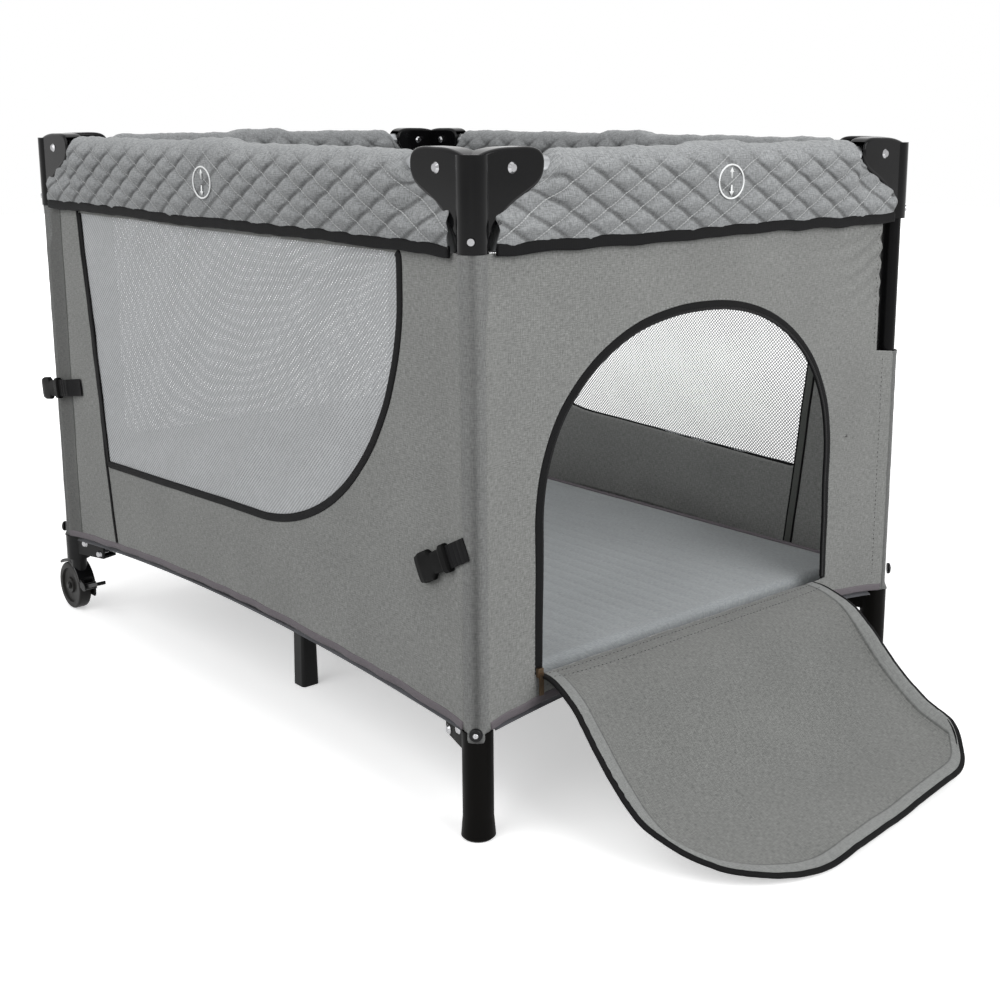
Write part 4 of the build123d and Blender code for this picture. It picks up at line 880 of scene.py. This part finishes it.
class PLAYPEN_OT_sleeves(bpy.types.Operator):
    """Makes the cloth sleeves round the four posts"""

    bl_idname = "playpen.sleeves"
    bl_label = "Post sleeves"

    def execute(self, context):
        colours = context.scene.playpen_colours
        cloth = material_once("melange sleeve cloth", melange_cloth, colours.sleeve, fold=0.50)
        black = material_once("satin polypropylene", moulded_plastic, colours.plastic, 0.36, 0.20)
        rivet = material_once("nickel rivet", drawn_metal, hex_colour("#a3a3a5"), 0.20)
        columns = 72
        for number, side in enumerate(SIDES):
            middle, along, outward, half, body = SIDES[side]
            boss_z, crease_shade_at, crease_shade_width = SLEEVES[side]
            corner = body[5:]
            axis = np.array(middle, float) - half * np.array(along)
            diagonal = np.arctan2(np.sign(axis[1]), np.sign(axis[0]))
            top = SHORT_SLEEVE_Z if side == "back" else WALL_HEAD_Z
            turn = np.linspace(0, tau, columns, endpoint=False)[None]
            off = (turn - diagonal + pi) % tau - pi
            tongue = 1 - smooth(np.abs(off), radians(24), radians(44))
            low = HEM_Z - 0.001 - np.clip(HEM_Z - boss_z + BOSS_R + 0.001, 0, None) * tongue
            z = low + (top - low) * np.linspace(0, 1, 180)[:, None]
            lap = bell(off + pi / 2, 0.10)
            crease = bell(off - crease_shade_at, 0.5 * crease_shade_width)
            bulge = ripples(turn * SLEEVE_R, z, 31 + number, 0.10, 0.0005)
            brim = bell(top - z, 0.004)
            radius = SLEEVE_R + np.abs(bulge) + 0.0006 * lap + 0.0006 * brim - 0.0008 * crease
            over = smooth(HEM_Z + 0.010 - z, 0, 0.014) * tongue
            radius = np.maximum(radius, SLEEVE_R - 0.0006) * (1 - over) + TONGUE_R * over
            points = together(axis[0] + radius * np.cos(turn), axis[1] + radius * np.sin(turn), z)
            around = np.linspace(0, tau * SLEEVE_R, columns + 1)
            uv = together(around[None], np.concatenate([z, z[:, :1]], 1))
            # Painted shade: a dark band along the crease, stronger towards the bottom of the sleeve
            fold = bell(off - crease_shade_at, crease_shade_width) * (1 - 0.4 * smooth(z, 0.20, 0.50))
            sleeve = grid_piece(
                f"post_sleeve_{corner}", points, uv, cloth, (False, True), marks={"fold": fold})
            solid_cloth(sleeve, 0.0012)
            carry(sleeve, body)
            face = np.array((cos(diagonal), sin(diagonal), 0))
            seat = axis + face * (TONGUE_R + 0.0004) + np.array((0, 0, boss_z))
            boss = turned_piece(f"tongue_boss_{corner}", seat, face, BOSS_PROFILE, black)
            head = seat + face * BOSS_PROFILE[0][1]
            screw = turned_piece(f"tongue_screw_{corner}", head, face, SCREW_PROFILE, rivet)
            carry(boss, body)
            carry(screw, body)
        return {"FINISHED"}


class PLAYPEN_OT_nets(bpy.types.Operator):
    """Knits the nets of the three windows"""

    bl_idname = "playpen.nets"
    bl_label = "Nets"

    def execute(self, context):
        sizes, colours = context.scene.playpen_sizes, context.scene.playpen_colours
        thread = material_once("knitted polyester net", knitted_net, colours.net)
        step = sizes.mesh / 2
        for side, spread in (("front", 1.0), ("back", 0.51), ("wheel", 0.60)):
            hole = 1 - sizes.strand * spread
            outline, middle = window_outline(side), window_middle(side)
            low, high = outline.min(0), outline.max(0)
            count = np.ceil((high - low) / step).astype(int)
            i, k = np.meshgrid(np.arange(count[0]), np.arange(count[1]), indexing="ij")
            chosen = (i + k) % 2 == 0
            i, k = i[chosen], k[chosen]
            spoke = low + np.stack([i, k], -1) * step - middle
            edge = radius_at(outline, middle, np.arctan2(spoke[:, 1], spoke[:, 0]))
            inside = np.hypot(spoke[:, 0], spoke[:, 1]) < edge - 0.002
            i, k = i[inside], k[inside]
            arms = np.array([(1, 0), (0, 1), (-1, 0), (0, -1)])
            knots = np.stack([i, k], -1)[:, None] + arms
            lattice, index = np.unique(knots.reshape(-1, 2), axis=0, return_inverse=True)
            index = index.reshape(-1, 4)
            rims = (np.stack([i, k], -1)[:, None] + arms * hole).reshape(-1, 2)
            rim = len(lattice) + np.arange(len(rims)).reshape(-1, 4)
            place = low + np.concatenate([lattice, rims]) * step
            u, z = place[:, 0], place[:, 1]
            inset = np.clip(radius_at(outline, middle, np.arctan2(z - middle[1], u - middle[0]))
                            - np.hypot(u - middle[0], z - middle[1]), 0, None)
            sag = -0.004 * smooth(inset, 0.0, 0.12)
            out = wall_depth(side, u, z, sizes.slack) + sag + ripples(u, z, SEEDS[side] + 50, 0.3, 0.0012)
            quads = np.concatenate([
                np.stack([index[:, n], index[:, (n + 1) % 4], rim[:, (n + 1) % 4], rim[:, n]], -1)
                for n in range(4)
            ])
            points = on_side(side, u, out, z)
            net = put_mesh(f"window_net_{side}", points, quads, place[quads.ravel()], thread)
            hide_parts(f"net_{side}")
            carry_side(net, side)
        return {"FINISHED"}


def cover_section(count):
    """Section (out, z) of a rail cover, from its outer foot over the rail and down to its inner foot: a round
    top on straight cheeks that taper to the foot. Returns the points and the distance run round it."""
    crown = [
        (COVER_HALF * cos(a), COVER_TOP_Z - COVER_HALF + COVER_HALF * sin(a)) for a in np.linspace(0, pi, 40)
    ]
    corners = [
        (COVER_FOOT_OUT, COVER_FOOT_Z), (COVER_HALF, COVER_SHOULDER_Z), *crown,
        (-COVER_HALF, COVER_SHOULDER_Z), (-COVER_FOOT_IN, COVER_FOOT_Z),
    ]
    radii = [0.004, 0.05] + [0] * 40 + [0.02, 0.003]
    line = rounded_path(corners, radii, True, 0.002)
    line = np.roll(line, -int(np.argmin(np.hypot(line[:, 0] - 0.005, line[:, 1] - COVER_FOOT_Z))), 0)
    loop = np.concatenate([line, line[:1]])
    run = lengths_along(loop)
    even = np.linspace(0, run[-1], count + 1)
    return np.stack([np.interp(even, run, loop[:, n]) for n in (0, 1)], -1)[:-1], even


def cover_foot_wave(side, u):
    """How far a cover's lower edge waves up and down along the side."""
    return ripples(u, 0 * u, SEEDS[side] + 20, 0.19, 0.0024)


class PLAYPEN_OT_rail_covers(bpy.types.Operator):
    """Makes the four quilted rail covers with their bindings and lock marks"""

    bl_idname = "playpen.rail_covers"
    bl_label = "Rail covers"

    def execute(self, context):
        sizes, colours = context.scene.playpen_sizes, context.scene.playpen_colours
        cloth = material_once("quilted melange cover", melange_cloth, colours.cover, contrast=0.19, fold=0.26,
                              quilt=(sizes.quilt_width, sizes.quilt_height))
        tape = material_once("black woven tape", woven_tape, colours.tape)
        ink = material_once("pale screen print", moulded_plastic, hex_colour("#f0f2f2"), 0.6)
        for side in SIDES:
            half = SIDES[side][3]
            mark_u, mark_z = MARKS[side]
            section, run = cover_section(132)
            tangent = np.roll(section, -1, 0) - np.roll(section, 1, 0)
            normal = together(tangent[:, 1], -tangent[:, 0]) / np.linalg.norm(tangent, axis=1)[:, None]
            out, z = section[None, :, 0], section[None, :, 1]
            end = half - COVER_INSET - 0.055 * smooth(z, 0.690, 0.722)
            rows = int(2 * half / 0.0022)
            u = np.linspace(-1, 1, rows)[:, None] * end
            quilt_a = u / sizes.quilt_width + run[None, :-1] / sizes.quilt_height
            quilt_b = u / sizes.quilt_width - run[None, :-1] / sizes.quilt_height
            puff = (np.abs(np.sin(pi * quilt_a)) * np.abs(np.sin(pi * quilt_b))) ** 0.5
            plain = np.where(out > 0, smooth(np.hypot(u - mark_u, z - mark_z), 0.027, 0.062), 1.0)
            crown = smooth(z, COVER_TOP_Z - 0.024, COVER_TOP_Z - 0.008)
            drawn = (0.15 + 0.85 * plain) * (1 - 0.8 * crown)
            foot = 1 - smooth(z, COVER_FOOT_Z, COVER_FOOT_Z + 0.030)
            rise = sizes.puff * (puff * drawn + 0.42 * (1 - drawn)) * (1 - 0.7 * foot) - 0.0012
            rise = rise + plain * ripples(u, run[None, :-1], SEEDS[side] + 9, 0.16, 0.0011)
            rise = rise + plain * puff * ripples(u, run[None, :-1], SEEDS[side] + 13, 0.032, 0.0009, 6)
            away = half - np.abs(u)
            tuck = (1 - smooth(away, 0.084, 0.112)) * smooth(z, 0.668, 0.700)
            wide = (out + rise * normal[None, :, 0]) * (1 - 0.46 * tuck)
            high = z + rise * normal[None, :, 1] - 0.017 * tuck * smooth(z, 0.700, COVER_TOP_Z)
            high = high + 0.0045 * smooth(0.064 - np.abs(u), 0, 0.026) * smooth(z, 0.690, COVER_TOP_Z)
            high = high + foot * cover_foot_wave(side, u)
            points = on_side(side, u, wide, high)
            wrapped = np.concatenate([u, u[:, :1]], 1)
            mirror = 1 if half == HALF_L else -1
            uv = together(mirror * wrapped, run[None])
            sewn = 1 - 0.9 * crown + 0 * u
            marks = {
                "sewn": sewn, "thread": np.where(out > 0, sewn, 0.1),
                # Painted shade: the cover's inner cheek is drawn darker, as if it lay in shade
                "fold": smooth(-out, 0.002, 0.016) + 0 * u,
            }
            marks = {key: np.concatenate([rows[:1], rows, rows[-1:]]) for key, rows in marks.items()}
            cover = grid_piece(f"quilted_cover_{side}", points, uv, cloth, (False, True), True, marks)
            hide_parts(f"rail_cover_{side}")
            carry_side(cover, side)
            along = np.linspace(-half + COVER_INSET, half - COVER_INSET, 260)
            line = together(along, COVER_FOOT_Z + cover_foot_wave(side, along) + 0.001)
            faces = (("outer", COVER_FOOT_OUT + 0.0004, sizes.rim), ("inner", -COVER_FOOT_IN, 0.008))
            for face, depth, width in faces:
                bind = side_tape(f"cover_binding_{face}_{side}", side, line, depth, width, 0.0042, tape)
                carry_side(bind, side)
            turn = np.linspace(0, tau, 96, endpoint=False)
            ring = together(mark_u + RING[0] * np.cos(turn), mark_z + RING[1] * np.sin(turn))
            skin = COVER_HALF + 0.42 * sizes.puff * 0.85
            mark = side_tape(f"lock_mark_ring_{side}", side, ring, skin, 0.0021, 0.0012, ink, True)
            carry_side(mark, side)
            for name, sign in (("up", 1), ("down", -1)):
                ahead, half_width = np.array(ARROW_LINE).T[..., None]
                us = mark_u + np.array((-1.0, 0.0, 1.0))[None] * half_width
                zs = mark_z + sign * (0.0038 + ahead) + 0 * us
                at = on_side(side, us, skin + 0.0002, zs)
                arrow = grid_piece(f"lock_mark_{name}_{side}", at, together(us, zs), ink)
                solid_cloth(arrow, 0.0008)
                carry_side(arrow, side)
        return {"FINISHED"}


class PLAYPEN_OT_floor(bpy.types.Operator):
    """Lays the cloth floor over the base tubes, turned up to the hems along its edges"""

    bl_idname = "playpen.floor"
    bl_label = "Floor cloth"

    def execute(self, context):
        cloth = material_once("coated floor cloth", melange_cloth, hex_colour("#55565a"), contrast=0.08)
        end_x, end_y = HALF_L + TURN_UP, HALF_W + TURN_UP
        x, y = np.meshgrid(np.linspace(-end_x, end_x, 150), np.linspace(-end_y, end_y, 110), indexing="ij")
        z = FLOOR_Z + 0.001 + ripples(x, y, 41, 0.35, 0.0004)
        long_up = smooth(np.abs(y), end_y - 0.022, end_y) * (hem_height("front", x) - 0.008 - z)
        short_up = smooth(np.abs(x), end_x - 0.018, end_x) * (hem_height("door", y) - 0.008 - z)
        z = z + np.where(np.abs(long_up) > np.abs(short_up), long_up, short_up)
        corner = (np.abs(x) > HALF_L - 0.018) & (np.abs(y) > HALF_W - 0.018)
        points = together(x, y, z)
        floor = grid_piece("floor_cloth", points, points[..., :2], cloth)
        cut = bmesh.new()
        cut.from_mesh(floor.data)
        cut.verts.ensure_lookup_table()
        bmesh.ops.delete(cut, geom=[cut.verts[n] for n in np.flatnonzero(corner.ravel())], context="VERTS")
        cut.to_mesh(floor.data)
        cut.free()
        solid_cloth(floor, 0.0012)
        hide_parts("floor_sheet")
        carry(floor, "floor_hub")
        return {"FINISHED"}


class PLAYPEN_OT_mattress(bpy.types.Operator):
    """Makes the padded mattress with its sewn lines"""

    bl_idname = "playpen.mattress"
    bl_label = "Mattress"

    def execute(self, context):
        sizes, colours = context.scene.playpen_sizes, context.scene.playpen_colours
        cloth = material_once("mattress jersey", melange_cloth, colours.mattress, contrast=0.09, sheen=0.2)
        half_x, half_y = MATTRESS_HIGH[0], MATTRESS_HIGH[1]
        low, high = MATTRESS_LOW[2], MATTRESS_HIGH[2]
        middle = (low + high) / 2
        corners = [(half_y, low), (half_y, high), (-half_y, high), (-half_y, low)]
        line = rounded_path(corners, (0.008, 0.014, 0.014, 0.008), True, 0.0036)
        line = np.roll(line, -int(np.argmin(np.hypot(line[:, 0], line[:, 1] - low))), 0)
        rows = np.linspace(-1, 1, 150)
        x = (half_x * np.sign(rows) * (1 - (1 - np.abs(rows)) ** 1.35))[:, None]
        over = np.clip((np.abs(x) - (half_x - 0.013)) / 0.013, 0, 1)
        height = np.sqrt(1 - 0.985 * over**2)
        turn = np.clip((np.abs(x) - (half_x - 0.030)) / 0.030, 0, 1)
        width = 1 - (1 - np.sqrt(1 - turn**2)) * 0.030 / half_y
        width = width - MATTRESS_SAG / half_y * (1 - (x / half_x) ** 2)
        y = line[None, :, 0] * width
        z = middle + (line[None, :, 1] - middle) * height
        top = smooth(line[None, :, 1], high - 0.004, high)
        away = np.abs((y / sizes.channel + 0.5) % 1 - 0.5) * sizes.channel
        inner = smooth(half_x - np.abs(x), 0.010, 0.040) * smooth(half_y - np.abs(y), 0.008, 0.026)
        dip = -0.0010 * bell(away, 0.0026) * inner
        crown = -0.0022 * ((x / half_x) ** 2 + (y / half_y) ** 2) / 2
        z = z + top * (dip + crown + ripples(x, y, 61, 0.30, 0.0008) - 0.0006) * height
        uv = together(x, lengths_along(np.concatenate([line, line[:1]]))[None])
        pad = grid_piece("mattress_pad", together(x, y, z), uv, cloth, (False, True), True)
        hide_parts("mattress")
        bound = material_once("hem tape", woven_tape, colours.hem, 0.6)
        run = np.linspace(-1, 1, 120) * (half_x - 0.020)
        swell = 1 - MATTRESS_SAG / half_y * (1 - (run / half_x) ** 2)
        pipings = []
        for name, sign in (("front", -1), ("back", 1)):
            path = together(run, sign * (half_y - 0.0030) * swell, high - 0.0030)
            up = np.broadcast_to(UP, path.shape)
            across = np.cross(unit(np.gradient(path, axis=0)), up)
            pipings.append(tape_piece(
                f"mattress_piping_{name}", path, across, up, 0.0060, 0.0060, bound, False, 10))
        for piece in (pad, *pipings):
            carry(piece, "mattress")
        return {"FINISHED"}


def flap_profile():
    """The flap's line from the sill to its tip, straight runs with round bends: distance run, out, height."""
    line = rounded_path(FLAP_LINE, (0, *FLAP_BENDS, 0), False, 0.003)
    return lengths_along(line), line[:, 0], line[:, 1]


def flap_tip(y, front, back):
    """How far out the flap reaches at each y: a skewed tip with a wide round at the front and a small one at
    the back, as quarter circles."""
    tip = FLAP_LINE[-1][0] - FLAP_SKEW * (y - front) / (back - front)
    for radius, gap in ((FLAP_TIP_R, y - front), (FLAP_CORNER_R, back - y)):
        inside = np.clip(radius - gap, 0, radius)
        tip = tip - (radius - np.sqrt(radius**2 - inside**2))
    return tip


class PLAYPEN_OT_door_flap(bpy.types.Operator):
    """Makes the door flap as it lies open, with its hem, zip tape and stitching"""

    bl_idname = "playpen.door_flap"
    bl_label = "Door flap"

    def execute(self, context):
        sizes, colours = context.scene.playpen_sizes, context.scene.playpen_colours
        cloth = material_once("hemmed melange flap", melange_cloth, colours.flap, hem=0.013)
        tape = material_once("black woven tape", woven_tape, colours.tape)
        front, back = FLAP_LOW[1], FLAP_HIGH[1]
        run, out, height = flap_profile()
        share = np.linspace(0, 1, 150)
        y_line = front + (back - front) * (0.5 - 0.5 * np.cos(pi * np.linspace(0, 1, 170)))
        reach = np.interp(flap_tip(y_line, front, back), out, run)
        d = share[:, None] * reach[None]
        y = y_line[None] - FLAP_FLARE * smooth(d, 0, 0.060) * ((back - y_line[None]) / (back - front)) ** 4
        x = np.interp(d, run, out)
        z = np.interp(d, run, height)
        slope_x, slope_z = (np.interp(d, run, np.gradient(line, run)) for line in (out, height))
        free = smooth(d, 0.01, 0.08)
        wave = ripples(d, y, 71, 0.26, 0.0030) * free
        curl = 0.015 * smooth(y, back - 0.034, back) ** 2 * smooth(d, 0.03, 0.12)
        lift = wave + curl
        x = x - slope_z * lift
        z = np.maximum(z + slope_x * lift, 0.0022)
        edge = np.minimum(np.minimum(y_line - front, back - y_line)[None], reach[None] - d)
        step = 0.0010 * (1 - smooth(edge, 0.012, 0.0145))
        step = step + ripples(d, y, 73, 0.05, 0.0006) * (1 - smooth(edge, 0.010, 0.016)) * free
        points = together(FLAP_LOW[0] + x - slope_z * step, y, z + slope_x * step)
        flap = grid_piece("flap_cloth", points, together(d, y), cloth, marks={"edge": edge})
        solid_cloth(flap, 0.0024)
        rise = together(-slope_z, 0.0, slope_x)
        around, up = (np.concatenate([rows[:, 0], rows[-1, 1:-1], rows[::-1, -1]]) for rows in (points, rise))
        across = unit(np.cross(unit(np.gradient(around, axis=0)), up))
        bed = around + 0.0016 * across - 0.0012 * up
        bed[:, 2] = np.maximum(bed[:, 2], 0.0024)
        trim = tape_piece("flap_zip_tape", bed, across, up, 0.0092, 0.0040, tape)
        seams = []
        for name, place in (("sill_seam", 0.006), ("sill_stitch", 0.020)):
            row = int(np.argmin(np.abs(share * reach.mean() - place)))
            line = points[row, 3:-3] + 0.0012 * rise[row, 3:-3]
            seams.append(stitch_row(f"flap_{name}", line, rise[row, 3:-3], tape))
        for piece in (flap, trim, *seams):
            carry(piece, "door_flap")
            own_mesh(piece)
        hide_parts("door_flap")
        return {"FINISHED"}


class PLAYPEN_OT_buckles(bpy.types.Operator):
    """Makes the two webbing tails with their side-release buckles"""

    bl_idname = "playpen.buckles"
    bl_label = "Strap buckles"

    def execute(self, context):
        colours = context.scene.playpen_colours
        body = material_once("matt buckle plastic", moulded_plastic, hex_colour("#070707"), 0.5, 0.06)
        tape = material_once("black woven tape", woven_tape, colours.tape)
        places = (
            ("door", (HALF_L, 0.336), 27.0, 0.004, 0.0166, "post_door_front"),
            ("wheel", (-HALF_L + 0.052, 0.3748), 8.0, 0.030, 0.0212, "post_wheel_front"),
        )
        outward = np.array((0, -1.0, 0))
        columns = 44
        turn = np.arange(columns) / columns * tau
        a = signed_power(np.cos(turn), 0.45)
        b = signed_power(np.sin(turn), 0.55)
        for name, start, tilt, tail, stand, carrier in places:
            ahead = np.array((-cos(radians(tilt)), 0, -sin(radians(tilt))))
            side = np.array((ahead[2], 0, -ahead[0]))
            origin = np.array((start[0], -HALF_W, start[1]))
            knots, halves = np.array(BUCKLE_LINE).T
            outer = np.linspace(knots[0], knots[-1], 90)
            mouth = np.linspace(knots[-1], knots[-1] - 0.020, 12)
            s = np.concatenate([outer, mouth])
            inner = np.arange(len(s)) >= len(outer)
            tall = np.where(inner, halves[-1] - 0.004, np.interp(s, knots, halves))
            bar = smooth(s, 0.029, 0.031) * (1 - smooth(s, 0.039, 0.042))
            thick = np.where(inner, 0.0028, 0.0042 + 0.0012 * bar - 0.0010 * smooth(s, 0.080, 0.089))
            web = np.linspace(-tail, 0.036, 80)
            ribs = 0.0009 * np.abs(np.sin(pi * web / 0.0078)) ** 0.6 * smooth(web, -0.002, 0.002)
            lies = stand - 0.0075 * (1 - smooth(web, -tail, 0.012)) * (tail > 0.01)
            forms = (
                (f"buckle_{name}", s, tall, thick, np.full_like(s, stand), body),
                (f"buckle_webbing_{name}", web, np.full_like(web, 0.0130), 0.0011 + ribs, lies, tape),
            )
            made = []
            for label, place, wide, deep, off, material in forms:
                middle = origin + place[:, None] * ahead + off[:, None] * outward
                points = (middle[:, None] + (wide[:, None] * a[None])[..., None] * side
                          + (deep[:, None] * b[None])[..., None] * outward)
                uv = together(place[:, None], np.arange(columns + 1)[None] / (columns + 1) * 0.1)
                made.append(grid_piece(label, points, uv, material, (False, True), True))
                carry(made[-1], carrier)
            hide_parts(f"buckle_strap_{name}")
        return {"FINISHED"}


class PLAYPEN_PT_panel(bpy.types.Panel):
    """Lists the playpen's pieces, sizes and colours"""

    bl_idname = "PLAYPEN_PT_panel"
    bl_label = "Playpen"
    bl_space_type = "VIEW_3D"
    bl_region_type = "UI"
    bl_category = "Playpen"

    def draw(self, context):
        for operator in OPERATORS:
            self.layout.operator(operator.bl_idname)
        for group in (context.scene.playpen_sizes, context.scene.playpen_colours):
            for name in group.__annotations__:
                self.layout.prop(group, name)


OPERATORS = (
    PLAYPEN_OT_stage,
    PLAYPEN_OT_hardware,
    PLAYPEN_OT_walls,
    PLAYPEN_OT_sleeves,
    PLAYPEN_OT_nets,
    PLAYPEN_OT_rail_covers,
    PLAYPEN_OT_floor,
    PLAYPEN_OT_mattress,
    PLAYPEN_OT_door_flap,
    PLAYPEN_OT_buckles,
)
CLASSES = (PlaypenSizes, PlaypenColours, *OPERATORS, PLAYPEN_PT_panel)


def register():
    for kind in CLASSES:
        bpy.utils.register_class(kind)
    bpy.types.Scene.playpen_sizes = bpy.props.PointerProperty(type=PlaypenSizes)
    bpy.types.Scene.playpen_colours = bpy.props.PointerProperty(type=PlaypenColours)


def unregister():
    del bpy.types.Scene.playpen_colours
    del bpy.types.Scene.playpen_sizes
    for kind in reversed(CLASSES):
        bpy.utils.unregister_class(kind)


def main():
    """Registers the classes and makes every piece."""
    register()
    bpy.ops.playpen.stage()
    bpy.ops.playpen.hardware()
    bpy.ops.playpen.walls()
    bpy.ops.playpen.sleeves()
    bpy.ops.playpen.nets()
    bpy.ops.playpen.rail_covers()
    bpy.ops.playpen.floor()
    bpy.ops.playpen.mattress()
    bpy.ops.playpen.door_flap()
    bpy.ops.playpen.buckles()


if __name__ == "__main__":
    main()
